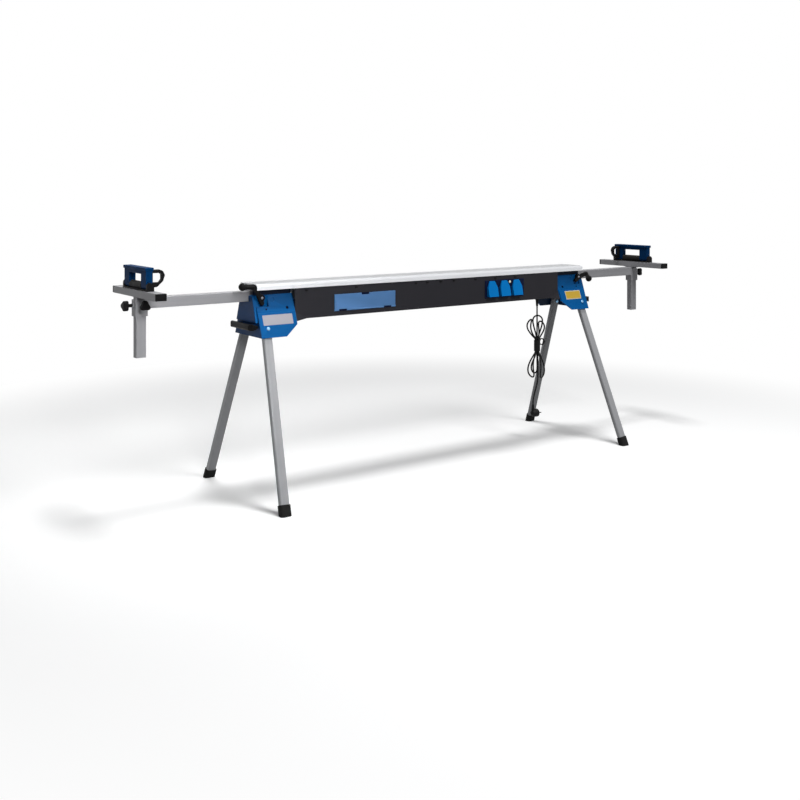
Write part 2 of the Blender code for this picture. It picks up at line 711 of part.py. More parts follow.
def build_cover():
    half = HOUSING_INNER - GAP
    low = COVER_BOTTOM
    inner = COVER_FACE - COVER_WALL
    outline = [
        (-COVER_FACE, COVER_TOP), (-COVER_FACE, low + COVER_WALL), (-COVER_FACE + COVER_WALL, low),
        (COVER_FACE - COVER_WALL, low), (COVER_FACE, low + COVER_WALL), (COVER_FACE, COVER_TOP),
        (inner, COVER_TOP), (inner, low + COVER_WALL), (-inner, low + COVER_WALL), (-inner, COVER_TOP),
    ]
    cover = prism("beam_cover", outline, -half, half, "X", BLACK)
    front = (-RAIL_WIDTH, 0)
    lid_top = RAIL_TOP - LID_DROP
    lid_way = block(
        "lid_way", (BIN_X - LID_WIDTH / 2 - LID_GAP, BIN_X + LID_WIDTH / 2 + LID_GAP), front,
        (lid_top + LID_GAP, lid_top - LID_HEIGHT - LID_GAP),
    )
    block_half = SOCKET_PITCH * SOCKET_COUNT / 2 + BLOCK_MARGIN + GAP
    block_top = RAIL_TOP - BLOCK_DROP
    socket_way = block(
        "socket_way", (SOCKET_X - block_half, SOCKET_X + block_half), front,
        (block_top + GAP, block_top - BLOCK_HEIGHT - GAP),
    )
    gland_way = rod(
        "gland_way", GLAND_RADIUS * 0.8 + GAP, low - COVER_WALL, low + COVER_WALL * 2, "Z", (CORD_X, 0, 0), 20
    )
    cut(cover, lid_way, socket_way, gland_way)


def build_bin():
    """The storage bin, its lid, which drops open on a pin along its bottom edge, and the pin."""
    lid_top = RAIL_TOP - LID_DROP
    lid_low = lid_top - LID_HEIGHT
    front = -COVER_FACE + COVER_WALL + GAP
    low = COVER_BOTTOM + COVER_WALL + GAP
    top = BEAM_BOTTOM - GAP
    half = BIN_WIDTH / 2
    body = block("storage_bin", (BIN_X - half, BIN_X + half), (front, BIN_BACK), (low, top), NAVY)
    flange_half = LID_WIDTH / 2 + BIN_FLANGE
    flange = block(
        "bin_flange", (BIN_X - flange_half, BIN_X + flange_half), (front, front + BIN_WALL),
        (low, lid_top + BIN_FLANGE),
    )
    pin_y = front - GAP - LID_BARREL
    pin_z = lid_low + LID_BARREL
    inside = (BIN_X - half + BIN_WALL, BIN_X + half - BIN_WALL)
    hollow = block(
        "bin_hollow", inside, (front + BIN_WALL, BIN_BACK - BIN_WALL), (low + BIN_WALL, top - BIN_WALL)
    )
    mouth = block(
        "bin_mouth", inside, (-RAIL_WIDTH, front + BIN_WALL * 2), (pin_z + 2 * LID_BARREL, top - BIN_WALL)
    )
    join(body, flange)
    cut(body, hollow, mouth)
    hinge_xs = [BIN_X + k * LUG_SHARE * LID_WIDTH for k in (-1, 1)]
    lug_half = HINGE_GAP_WIDTH / 2 - LID_GAP
    for k, x in enumerate(hinge_xs):
        lug = prism(
            f"bin_lug_{k}", capsule((pin_y, pin_z), (front + BIN_WALL / 2, pin_z), LID_BARREL * 0.8, 4),
            x - lug_half, x + lug_half, "X",
        )
        join(body, lug)
    long = (BIN_X - RAIL_LENGTH / 2, BIN_X + RAIL_LENGTH / 2)
    cut(body, rod("bin_pin_hole", LID_PIN_RADIUS + GAP, *long, "X", (0, pin_y, pin_z), 10))

    back = -COVER_FACE - LID_PROUD + LID_THICKNESS
    lid = block(
        "storage_lid", (BIN_X - LID_WIDTH / 2, BIN_X + LID_WIDTH / 2), (-COVER_FACE - LID_PROUD, back),
        (pin_z, lid_top), LID_BLUE,
    )
    soften(lid, LID_THICKNESS / 5, 1)
    barrel = rod(
        "lid_barrel", LID_BARREL, BIN_X - LID_WIDTH / 2, BIN_X + LID_WIDTH / 2, "X", (0, pin_y, pin_z), 14
    )
    join(lid, barrel)
    cut(lid, rod("lid_pin_hole", LID_PIN_RADIUS + GAP, *long, "X", (0, pin_y, pin_z), 10))
    finger = prism(
        "finger_notch",
        rounded(NOTCH_WIDTH, NOTCH_DEPTH * 2, NOTCH_DEPTH * 0.6, 3, (BIN_X, lid_top)),
        -RAIL_WIDTH, 0, "Y",
    )
    cut(lid, finger)
    for k, x in enumerate(hinge_xs):
        cut(lid, block(
            f"hinge_gap_{k}", (x - HINGE_GAP_WIDTH / 2, x + HINGE_GAP_WIDTH / 2), (-RAIL_WIDTH, 0),
            (lid_low - LID_BARREL, pin_z + LID_BARREL * 1.2),
        ))
    set_origin(lid, (BIN_X, pin_y, pin_z))
    rod(
        "lid_pin", LID_PIN_RADIUS, BIN_X - LID_WIDTH / 2 + LID_THICKNESS, BIN_X + LID_WIDTH / 2 - LID_THICKNESS,
        "X", (0, pin_y, pin_z), 10, STEEL,
    )


def build_sockets():
    face = -COVER_FACE - BLOCK_PROUD
    top = RAIL_TOP - BLOCK_DROP
    half = SOCKET_PITCH * SOCKET_COUNT / 2 + BLOCK_MARGIN
    body = block(
        "socket_block", (SOCKET_X - half, SOCKET_X + half), (face, face + BLOCK_BACK),
        (top - BLOCK_HEIGHT, top), NAVY,
    )
    soften(body, RUN * 2)
    middle_z = RAIL_TOP - RECESS_DROP
    flap_top = top - BLOCK_MARGIN / 2
    flap_back = face - GAP
    flap_face = flap_back - FLAP_THICKNESS
    pin_y = flap_back - FLAP_THICKNESS / 2
    pin_z = flap_top - FLAP_THICKNESS / 2
    inner_ear = FLAP_TOP_WIDTH / 2 + RUN
    shoulder = flap_top - FLAP_HEIGHT * FLAP_TAPER_SHARE
    low = flap_top - FLAP_HEIGHT
    for i in range(SOCKET_COUNT):
        x = SOCKET_X + (i - (SOCKET_COUNT - 1) / 2) * SOCKET_PITCH
        cut(body, rod(
            f"recess_{i}", RECESS_RADIUS, face - RUN, face + RECESS_DEPTH, "Y", (x, 0, middle_z), 24
        ))
        for k in (-1, 1):
            cut(body, rod(
                f"contact_{i}_{k}", CONTACT_RADIUS, face + RECESS_DEPTH - RUN,
                face + RECESS_DEPTH + CONTACT_DEPTH, "Y", (x + k * CONTACT_SPREAD, 0, middle_z), 8,
            ))
        for k in (-1, 1):
            a, b = k * inner_ear, k * (inner_ear + EAR_WIDTH)
            ear = block(
                f"ear_{i}_{k}", (x + a, x + b), (face + RUN, flap_face + GAP), (flap_top, pin_z - FLAP_THICKNESS / 2)
            )
            join(body, ear)
        cut(body, rod(
            f"flap_pin_hole_{i}", FLAP_PIN_RADIUS + GAP, x - FLAP_PIN_LENGTH / 2 - GAP,
            x + FLAP_PIN_LENGTH / 2 + GAP, "X", (0, pin_y, pin_z), 10,
        ))
        outline = [
            (x - FLAP_WIDTH / 2, low), (x + FLAP_WIDTH / 2, low), (x + FLAP_WIDTH / 2, shoulder),
            (x + FLAP_TOP_WIDTH / 2, pin_z - FLAP_THICKNESS), (x + FLAP_TOP_WIDTH / 2, pin_z),
            (x - FLAP_TOP_WIDTH / 2, pin_z), (x - FLAP_TOP_WIDTH / 2, pin_z - FLAP_THICKNESS),
            (x - FLAP_WIDTH / 2, shoulder),
        ]
        flap = prism(f"socket_flap_{i + 1}", outline, flap_face, flap_back, "Y", BLUE)
        soften(flap, FLAP_THICKNESS / 5)
        hinge = rod(
            f"flap_barrel_{i}", FLAP_THICKNESS / 2, x - FLAP_TOP_WIDTH / 2, x + FLAP_TOP_WIDTH / 2, "X",
            (0, pin_y, pin_z), 12,
        )
        pin = rod(
            f"flap_pin_{i}", FLAP_PIN_RADIUS, x - FLAP_PIN_LENGTH / 2, x + FLAP_PIN_LENGTH / 2, "X",
            (0, pin_y, pin_z), 10,
        )
        lip = block(
            f"flap_lip_{i}", (x - FLAP_WIDTH / 4, x + FLAP_WIDTH / 4),
            (flap_face - FLAP_THICKNESS / 2, flap_face + RUN), (low + RUN, low + FLAP_THICKNESS),
        )
        join(flap, hinge, pin, lip)
        set_origin(flap, (x, pin_y, pin_z))
    turned(
        "pilot_lamp",
        [(face - GAP, LAMP_RADIUS), (face - GAP - LAMP_HEIGHT * 0.6, LAMP_RADIUS),
         (face - GAP - LAMP_HEIGHT, LAMP_RADIUS * 0.6)],
        "Y", (LAMP_X, 0, RAIL_TOP - LAMP_DROP), 16, LAMP,
    )


def build_lever(side_name, side):
    """The arm clamp: a bent lever with a ball, on a pin through the housing's upright pad."""
    pivot = Vector((side * LEVER_X, 0, RAIL_TOP - LEVER_DROP))
    back = -LEVER_SEAT - GAP
    front = back - LEVER_THICKNESS
    middle = (front + back) / 2
    lever = prism(f"clamp_lever_{side_name}", disc(LEVER_HUB, (0, 0), 20), front, back, "Y", BLACK)
    upper = prism(
        f"lever_upper_{side_name}", capsule((0, 0), LEVER_SHOULDER, LEVER_BAR), front + RUN, back - RUN, "Y"
    )
    tail = prism(
        f"lever_tail_{side_name}", capsule((0, 0), LEVER_TAIL, LEVER_END_BAR), front + 2 * RUN, back - 2 * RUN,
        "Y",
    )
    lower = prism(
        f"lever_lower_{side_name}", capsule(LEVER_SHOULDER, LEVER_GRIP, LEVER_END_BAR), front + 3 * RUN,
        back - 3 * RUN, "Y",
    )
    run = Vector(LEVER_GRIP) - Vector(LEVER_SHOULDER)
    jog = Matrix.Identity(4)
    for column, share in ((0, run.x), (2, run.y)):
        jog[1][column] = LEVER_JOG * share / run.length_squared
    jog[1][3] = -LEVER_JOG * run.dot(Vector(LEVER_SHOULDER)) / run.length_squared
    move(lower, jog)
    steps = 6
    turns = [math.pi * (i + 0.5) / steps for i in range(steps)]
    ball = turned(
        f"lever_ball_{side_name}",
        [(middle + LEVER_JOG - LEVER_BALL * math.cos(t), LEVER_BALL * math.sin(t)) for t in turns],
        "Y", (LEVER_GRIP[0], 0, LEVER_GRIP[1]), 16,
    )
    pin = rod(f"lever_pin_{side_name}", LEVER_PIN_RADIUS, middle, -LEVER_PIN_END, "Y", sides=16)
    join(lever, upper, tail, lower, ball, pin)
    raised = LEVER_RAISED_DEG if side < 0 else 0.0
    turn = Matrix.Rotation(math.radians(-raised), 4, "Y")
    flip = Matrix.Scale(side, 4, (1, 0, 0))
    for obj in (lever, upper, tail, lower, ball, pin):
        move(obj, Matrix.Translation(pivot) @ flip @ turn)
    set_origin(lever, pivot)


def lobed(radius, lobe, sides=30, turn=90.0):
    points = []
    for i in range(sides):
        angle = 2 * math.pi * i / sides
        reach = radius + lobe * math.cos(3 * angle)
        points.append((
            reach * math.cos(angle + math.radians(turn)), reach * math.sin(angle + math.radians(turn))
        ))
    return points


def build_knob(name, start, direction, depth):
    """A three-lobed clamp knob on a screw, from the screw's tip at start along direction."""
    screw = depth + NUT_BOSS_LENGTH + RUN
    knob = prism(name, lobed(KNOB_RADIUS, KNOB_LOBE), screw + KNOB_NECK, screw + KNOB_NECK + KNOB_LENGTH, "Z", BLACK)
    soften(knob, KNOB_LOBE * 0.7, 1)
    neck = turned(
        f"neck_of_{name}",
        [(screw, KNOB_NECK_RADIUS), (screw + KNOB_NECK / 2, KNOB_NECK_RADIUS),
         (screw + KNOB_NECK + KNOB_LENGTH / 2, KNOB_NECK_RADIUS * 1.4)],
        sides=16,
    )
    stem = rod(f"screw_of_{name}", KNOB_SCREW_RADIUS, 0, screw + KNOB_NECK / 2, sides=12)
    join(knob, neck, stem)
    turn = Vector((0, 0, 1)).rotation_difference(Vector(direction)).to_matrix().to_4x4()
    for obj in (knob, neck, stem):
        move(obj, Matrix.Translation(start) @ turn)
    set_origin(knob, start)


def build_support(side_name, side, reach, bar_shift, rest_shift):
    """One extension: the arm with its sleeve, the post with its cross bar, and the work rest."""
    x = side * reach
    bar_top = RAIL_TOP
    bar_low = bar_top - TBAR_HEIGHT
    post_half = (POST_WIDTH / 2, POST_THICKNESS / 2)
    sleeve_half = (post_half[0] + GAP + SLEEVE_WALL, post_half[1] + GAP + SLEEVE_WALL)
    sleeve_top = bar_low - GUSSET_HEIGHT - SLEEVE_TOP_GAP
    sleeve_low = sleeve_top - SLEEVE_HEIGHT
    weld = side * (reach - sleeve_half[0] + GAP)

    arm_z = (ARM_TOP + ARM_BOTTOM) / 2
    arm = prism(
        f"arm_{side_name}", rounded(ARM_WIDTH, ARM_HEIGHT, TUBE_ROUND, 2, (0, arm_z)),
        weld, weld - side * ARM_LENGTH, "X", ALUMINIUM,
    )
    arm_bore = prism(
        f"arm_hollow_{side_name}",
        rounded(ARM_WIDTH - 2 * ARM_WALL, ARM_HEIGHT - 2 * ARM_WALL, TUBE_ROUND - ARM_WALL, 1, (0, arm_z)),
        weld - side * ARM_WALL, weld - side * ARM_LENGTH * 2, "X",
    )
    cut(arm, arm_bore)
    sleeve = block(
        f"sleeve_{side_name}", (x - sleeve_half[0], x + sleeve_half[0]), (-sleeve_half[1], sleeve_half[1]),
        (sleeve_low, sleeve_top),
    )
    post_way = block(
        f"post_way_{side_name}", (x - post_half[0] - GAP, x + post_half[0] + GAP),
        (-post_half[1] - GAP, post_half[1] + GAP), (0, RAIL_TOP),
    )
    join(arm, sleeve)
    knob_z = sleeve_low + SLEEVE_HEIGHT * KNOB_SHARE
    for label, spot, heading, wall in (
        ("outer", (x + side * (post_half[0] + GAP), 0, knob_z), (side, 0, 0), SLEEVE_WALL),
        ("side", (x, side * (post_half[1] + GAP), knob_z), (0, side, 0), SLEEVE_WALL),
    ):
        axis = "X" if heading[0] else "Y"
        from_wall = (reach + post_half[0] + GAP) if heading[0] else post_half[1] + GAP
        nut = rod(
            f"nut_{label}_{side_name}", NUT_BOSS_RADIUS, side * (from_wall + wall / 2),
            side * (from_wall + wall + NUT_BOSS_LENGTH), axis,
            (0, 0, knob_z) if heading[0] else (x, 0, knob_z), 6,
        )
        thread = rod(
            f"thread_{label}_{side_name}", KNOB_SCREW_RADIUS + GAP, side * (from_wall - wall),
            side * (from_wall + wall + NUT_BOSS_LENGTH * 2), axis,
            (0, 0, knob_z) if heading[0] else (x, 0, knob_z), 12,
        )
        join(arm, nut)
        cut(arm, thread)
        build_knob(f"knob_{label}_{side_name}", spot, heading, wall)
    cut(arm, post_way)
    set_origin(arm, (weld, 0, arm_z))

    post = prism(
        f"support_post_{side_name}", rounded(POST_WIDTH, POST_THICKNESS, TUBE_ROUND, 2, (x, 0)),
        bar_low - POST_LENGTH, bar_low + POST_WALL * 0.75, "Z", ALUMINIUM,
    )
    inner = (POST_WIDTH - 2 * POST_WALL, POST_THICKNESS - 2 * POST_WALL)
    hollow = prism(
        f"post_hollow_{side_name}", rounded(*inner, TUBE_ROUND - POST_WALL, 1, (x, 0)),
        bar_low - POST_LENGTH * 2, bar_low - POST_WALL, "Z",
    )
    cut(post, hollow)
    bar_near, bar_far = bar_shift - TBAR_LENGTH / 2, bar_shift + TBAR_LENGTH / 2
    bar_half = TBAR_WIDTH / 2
    bar = block(
        f"cross_bar_{side_name}", (x - bar_half, x + bar_half), (bar_near, bar_far), (bar_low, bar_top)
    )
    bar_bore = block(
        f"bar_bore_{side_name}", (x - bar_half + POST_WALL, x + bar_half - POST_WALL),
        (bar_near * 3, bar_far * 3), (bar_low + POST_WALL, bar_top - POST_WALL),
    )
    join(post, bar)
    for k in (-1, 1):
        a, b = k * (post_half[1] - POST_WALL / 2), k * (post_half[1] + GUSSET_REACH)
        gusset = prism(
            f"gusset_{side_name}_{k}",
            [(a, bar_low + POST_WALL / 2), (b, bar_low + POST_WALL / 2), (b, bar_low - POST_WALL / 2),
             (a, bar_low - GUSSET_HEIGHT)],
            x - GUSSET_WIDTH / 2, x + GUSSET_WIDTH / 2, "X",
        )
        join(post, gusset)
    cut(post, bar_bore)
    set_origin(post, (x, 0, sleeve_top))

    plug_gap = POST_WALL + GAP
    for row_name, row, end in (("front", -1, bar_near), ("rear", 1, bar_far)):
        cap = block(
            f"bar_cap_{row_name}_{side_name}", (x - bar_half, x + bar_half),
            (end + row * GAP, end + row * (GAP + CAP_LENGTH)), (bar_low, bar_top), BLACK,
        )
        soften(cap, POST_WALL / 2)
        join(cap, block(
            f"cap_insert_{row_name}_{side_name}", (x - bar_half + plug_gap, x + bar_half - plug_gap),
            (end + row * CAP_LENGTH / 2, end - row * CAP_INSERT), (bar_low + plug_gap, bar_top - plug_gap),
        ))
    build_rest(side_name, side, x, rest_shift, bar_top + GAP)


def build_rest(side_name, side, x, middle, floor):
    """The work rest on the cross bar: a fixed base with its axle, a roller, and a stop that folds out."""
    half = REST_LENGTH / 2
    plate_top = floor + BASE_PLATE
    axle_z = plate_top + AXLE_RISE
    ear = half - COLUMN_INSET + RUN
    base = block(
        f"rest_base_{side_name}", (x - BASE_WIDTH / 2, x + BASE_WIDTH / 2),
        (middle - ear - BASE_EAR, middle + ear + BASE_EAR), (floor, plate_top), BLACK,
    )
    radius = BASE_WIDTH / 2
    for k in (-1, 1):
        outline = [(x - radius, floor + BASE_PLATE / 3), (x + radius, floor + BASE_PLATE / 3)]
        outline += disc(radius, (x, axle_z), 10, 0, 180)
        join(base, prism(
            f"rest_ear_{side_name}_{k}", outline, middle + k * ear, middle + k * (ear + BASE_EAR - RUN), "Y"
        ))
    join(base, rod(
        f"rest_axle_{side_name}", AXLE_RADIUS, middle - ear - BASE_EAR / 2, middle + ear + BASE_EAR / 2, "Y",
        (x, 0, axle_z), 12,
    ))

    top = floor + REST_HEIGHT
    column = COLUMN_WIDTH / 2
    window = half - COLUMN_INSET - COLUMN_LENGTH
    stop = block(
        f"work_stop_{side_name}", (x - REST_WIDTH / 2, x + REST_WIDTH / 2), (middle - half, middle + half),
        (top - REST_PLATE, top), BLUE,
    )
    soften(stop, REST_PLATE / 6, 2)
    web = prism(
        f"stop_web_{side_name}",
        [(x + column, top - REST_PLATE / 2), (x - column, top - REST_PLATE / 2)]
        + disc(column, (x, axle_z), 10, 180, 180),
        middle - half + COLUMN_INSET, middle + half - COLUMN_INSET, "Y",
    )
    opening = block(
        f"stop_window_{side_name}", (x - REST_WIDTH, x + REST_WIDTH), (middle - window, middle + window),
        (0, top - REST_PLATE - REST_BEAM),
    )
    cut(web, opening)
    join(stop, web)
    cut(stop, rod(
        f"stop_bore_{side_name}", AXLE_RADIUS + RUN, middle - REST_LENGTH, middle + REST_LENGTH, "Y",
        (x, 0, axle_z), 12,
    ))
    set_origin(stop, (x, middle, axle_z))

    roll = window - RUN
    roller = turned(
        f"roller_{side_name}",
        [(middle - roll, ROLLER_RADIUS * 0.9), (middle - roll + ROLLER_RADIUS * 0.1, ROLLER_RADIUS),
         (middle + roll - ROLLER_RADIUS * 0.1, ROLLER_RADIUS), (middle + roll, ROLLER_RADIUS * 0.9)],
        "Y", (x, 0, axle_z), 24, RUBBER,
    )
    cut(roller, rod(
        f"roller_bore_{side_name}", AXLE_RADIUS + RUN, middle - roll * 2, middle + roll * 2, "Y",
        (x, 0, axle_z), 12,
    ))
    set_origin(roller, (x, middle, axle_z))

    inward = -side
    grip_y = middle + side * GRIP_SHARE * REST_LENGTH
    near = column + GAP
    grip_top = top - GRIP_DROP
    grip_low = grip_top - GRIP_HEIGHT
    reach = near + GRIP_REACH
    round_off = GRIP_REACH * 0.4
    outer = [
        (near, grip_low), (reach - round_off * 1.4, grip_low), (reach - round_off * 0.3, grip_low + round_off),
        (reach, grip_low + round_off * 1.9), (reach, grip_top - round_off * 0.9),
        (reach - round_off * 0.35, grip_top - round_off * 0.25), (reach - round_off, grip_top), (near, grip_top),
    ]
    grip = prism(
        f"grip_{side_name}", [(x + inward * a, b) for a, b in outer],
        grip_y - GRIP_THICKNESS / 2, grip_y + GRIP_THICKNESS / 2, "Y", BLACK,
    )
    soften(grip, GRIP_THICKNESS / 6, 1, 40)
    hole_low, hole_top = grip_low + GRIP_BAR * 1.4, grip_top - GRIP_BAR
    hole = [
        (near + GRIP_BAR / 2, hole_low), (reach - GRIP_BAR - round_off * 0.4, hole_low),
        (reach - GRIP_BAR, hole_low + round_off * 0.5), (reach - GRIP_BAR, hole_top - round_off * 0.3),
        (reach - GRIP_BAR - round_off * 0.3, hole_top), (near + GRIP_BAR / 2, hole_top),
    ]
    cut(grip, prism(
        f"grip_hole_{side_name}", [(x + inward * a, b) for a, b in hole],
        grip_y - GRIP_THICKNESS, grip_y + GRIP_THICKNESS, "Y",
    ))
    cut(grip, block(
        f"plate_notch_{side_name}", (x, x + inward * (REST_WIDTH / 2 + GAP)),
        (grip_y - GRIP_THICKNESS, grip_y + GRIP_THICKNESS), (top - REST_PLATE - GAP, top + REST_PLATE),
    ))


def tube(name, points, finish, radius, sides_step):
    """A round cable along the points, with flat ends."""
    curve = bpy.data.curves.new(name, "CURVE")
    curve.dimensions = "3D"
    curve.bevel_depth = radius
    curve.bevel_resolution = sides_step
    curve.use_fill_caps = True
    spline = curve.splines.new("POLY")
    spline.points.add(len(points) - 1)
    for point, spot in zip(spline.points, points):
        point.co = (*spot, 1.0)
    obj = bpy.data.objects.new(name, curve)
    curve.materials.append(principled(name, finish))
    PARTS.objects.link(obj)
    return obj


def smooth(t):
    return t * t * (3 - 2 * t)


def loop_points(start, end, outward, height, lean, up):
    """A drop-shaped loop from one strand to its neighbour, leaning outward as it leaves the tie."""
    a, b = Vector(start), Vector(end)
    middle, half = (a + b) / 2, (b - a).length / 2
    along = (b - a).normalized()
    straight = height - BEND_RADIUS
    rise = Vector((0, 0, 1.0 if up else -1.0))
    shape = []
    side_steps = LOOP_POINTS // 3
    for i in range(1, side_steps + 1):
        t = i / side_steps
        shape.append((-(half + (BEND_RADIUS - half) * smooth(t)), straight * t))
    bend_steps = LOOP_POINTS // 2
    for i in range(1, bend_steps):
        turn = math.pi * i / bend_steps
        shape.append((-BEND_RADIUS * math.cos(turn), straight + BEND_RADIUS * math.sin(turn)))
    shape += [(-p, q) for p, q in reversed(shape[:side_steps])]
    spots = []
    for p, q in shape:
        spots.append(middle + along * p + rise * q + outward * (lean * math.sin(LOOP_ARCH * q / height)))
    return spots


def hank_points():
    """The hank as one line: seven strands through the tie, three loops over it and three under it."""
    turn = math.radians(HANK_TURN_DEG)
    ring = [
        Vector((CORD_X + STRAND_PITCH * math.cos(turn + k * math.pi / 3),
                STRAND_PITCH * math.sin(turn + k * math.pi / 3), 0))
        for k in range(6)
    ]
    centre = Vector((CORD_X, 0, 0))

    def at(spot, z):
        return Vector((spot.x, spot.y, z))

    def outward(a, b):
        return ((a + b) / 2 - centre).normalized()

    points = [at(centre, HANK_TOP), at(centre, HANK_TOP - 2 * CORD_RADIUS), at(centre, TIE_TOP), at(centre, TIE_BOTTOM)]
    # From the middle strand out to the first of the ring: straight down, round, and back up outside.
    toward = (ring[0] - centre).normalized()
    radius = BACK_LOOP_WIDTH / 2
    straight = BACK_LOOP_HEIGHT - radius
    points.append(at(centre, TIE_BOTTOM - straight * 0.5))
    bend_steps = LOOP_POINTS // 2
    for i in range(bend_steps + 1):
        angle = math.pi * i / bend_steps
        spot = centre + toward * (radius - radius * math.cos(angle))
        points.append(at(spot, TIE_BOTTOM - straight - radius * math.sin(angle)))
    for t in (0.75, 0.5, 0.25):
        spot = ring[0] + toward * ((BACK_LOOP_WIDTH - STRAND_PITCH) * smooth(t))
        points.append(at(spot, TIE_BOTTOM - straight * t))
    for k in range(3):
        a, b = ring[2 * k], ring[2 * k + 1]
        points += [at(a, TIE_BOTTOM), at(a, TIE_TOP)]
        points += loop_points(at(a, TIE_TOP), at(b, TIE_TOP), outward(a, b), LOOP_HEIGHTS[k], LOOP_LEANS[k], True)
        points += [at(b, TIE_TOP), at(b, TIE_BOTTOM)]
        if k < 2:
            c = ring[2 * k + 2]
            points += loop_points(
                at(b, TIE_BOTTOM), at(c, TIE_BOTTOM), outward(b, c), DROP_HEIGHTS[k], DROP_LEANS[k], False
            )
    end = Vector((CORD_X + TAIL_SWAY[0], TAIL_SWAY[1], 0))
    last = ring[5]
    low = HANK_END + 4 * CORD_RADIUS
    for t in (0.25, 0.5, 0.75):
        points.append(at(last.lerp(end, smooth(t)), TIE_BOTTOM + (low - TIE_BOTTOM) * t))
    points += [at(end, low), at(end, HANK_END)]
    return points


def segment_distance(p, q, r, s):
    """The least distance between segments p-q and r-s."""
    u, v, w = q - p, s - r, p - r
    a, b, c, d, e = u.dot(u), u.dot(v), v.dot(v), u.dot(w), v.dot(w)
    below = a * c - b * b
    sc = min(max((b * e - c * d) / below, 0.0), 1.0) if below > 1e-14 else 0.0
    tc = min(max((b * sc + e) / c, 0.0), 1.0)
    sc = min(max((b * tc - d) / a, 0.0), 1.0)
    return (w + u * sc - v * tc).length


def least_gap(points, radius):
    """The least clear gap between stretches of the cord that aren't neighbours."""
    lengths = [0.0]
    for a, b in zip(points, points[1:]):
        lengths.append(lengths[-1] + (b - a).length)
    least = math.inf
    for i in range(len(points) - 1):
        for j in range(i + 2, len(points) - 1):
            if lengths[j] - lengths[i + 1] < 4 * radius * 2:
                continue
            least = min(least, segment_distance(points[i], points[i + 1], points[j], points[j + 1]))
    return least - 2 * radius


def build_cord():
    relief_low = COVER_BOTTOM - GLAND_COLLAR - RELIEF_LENGTH
    gland = turned(
        "cable_gland",
        [
            (relief_low, RELIEF_END_RADIUS), (COVER_BOTTOM - GLAND_COLLAR, GLAND_RADIUS * 0.72),
            (COVER_BOTTOM - GLAND_COLLAR + GAP, GLAND_RADIUS), (COVER_BOTTOM - GAP, GLAND_RADIUS),
            (COVER_BOTTOM - GAP / 2, GLAND_RADIUS * 0.8), (COVER_BOTTOM + COVER_WALL + GAP, GLAND_RADIUS * 0.8),
            (COVER_BOTTOM + COVER_WALL + 2 * GAP, GLAND_RADIUS * 0.95),
            (COVER_BOTTOM + COVER_WALL + GLAND_COLLAR / 2, GLAND_RADIUS * 0.95),
        ],
        "Z", (CORD_X, 0, 0), 20, BLACK,
    )
    assert gland
    lead_top = relief_low - GAP
    steps = 6
    lead = [
        Vector((CORD_X, 0, lead_top + (HANK_TOP + GAP - lead_top) * i / steps)) for i in range(steps + 1)
    ]
    tube("cord_lead", lead, RUBBER, CORD_RADIUS, 2)
    hank = hank_points()
    tube("cord_hank", hank, RUBBER, CORD_RADIUS, 1)
    print(f"cord_hank: {len(hank)} points, least gap {1000 * least_gap(hank, CORD_RADIUS):.2f} mm")

    plug_middle_z = PLUG_TOP - PLUG_RADIUS
    entry_top = PLUG_TOP + PLUG_RELIEF
    start = Vector((hank[-1].x, hank[-1].y, HANK_END - GAP))
    end = Vector((PLUG_ENTRY_X, 0, entry_top + GAP))
    straight = 2 * CORD_RADIUS
    tail = [start]
    steps = 10
    top, low = start.z - straight, end.z + straight
    for i in range(steps + 1):
        t = i / steps
        spot = start.lerp(end, smooth(t))
        tail.append(Vector((spot.x, spot.y, top + (low - top) * t)))
    tail.append(end)
    tube("cord_tail", tail, RUBBER, CORD_RADIUS, 2)

    bundle = STRAND_PITCH + CORD_RADIUS + GAP
    middle_z = (TIE_TOP + TIE_BOTTOM) / 2
    tie = rod("cord_tie", bundle + TIE_WALL, TIE_BOTTOM + TIE_WALL, TIE_TOP - TIE_WALL, "Z", (CORD_X, 0, 0), 20, BLACK)
    loop_x = CORD_X + bundle + TIE_WALL + TIE_LOOP_RADIUS * 0.88
    loop_z = middle_z + TIE_LOOP_RADIUS
    loop = rod(
        "tie_loop", TIE_LOOP_RADIUS, -TIE_LOOP_BAR * 1.6, TIE_LOOP_BAR * 1.6, "Y", (loop_x, 0, loop_z), 20
    )
    loop_hole = rod(
        "tie_loop_hole", TIE_LOOP_RADIUS - TIE_LOOP_BAR, -TIE_LOOP_BAR * 4, TIE_LOOP_BAR * 4, "Y",
        (loop_x, 0, loop_z), 20,
    )
    cut(loop, loop_hole)
    join(tie, loop)
    cut(tie, rod("tie_bore", bundle, TIE_BOTTOM, TIE_TOP, "Z", (CORD_X, 0, 0), 20))

    body_low, body_high = PLUG_X - PLUG_LENGTH / 2, PLUG_X + PLUG_LENGTH / 2
    plug = turned(
        "mains_plug",
        [
            (body_low, PLUG_RADIUS * 0.62), (body_low + PLUG_LENGTH * 0.2, PLUG_RADIUS * 0.86),
            (body_low + PLUG_LENGTH * 0.55, PLUG_RADIUS * 0.92), (body_low + PLUG_LENGTH * 0.6, PLUG_RADIUS),
            (body_high, PLUG_RADIUS),
        ],
        "X", (0, 0, plug_middle_z), 24, RUBBER,
    )
    entry = turned(
        "plug_entry",
        [(plug_middle_z, CORD_RADIUS * 2.4), (PLUG_TOP - PLUG_RADIUS * 0.2, CORD_RADIUS * 2.2),
         (entry_top, RELIEF_END_RADIUS)],
        "Z", (PLUG_ENTRY_X, 0, 0), 16,
    )
    pins = [
        rod(
            f"plug_pin_{k}", PIN_RADIUS, body_high - PIN_LENGTH / 4, body_high + PIN_LENGTH, "X",
            (0, k * PIN_SPREAD, plug_middle_z), 10,
        )
        for k in (-1, 1)
    ]
    join(plug, entry, *pins)


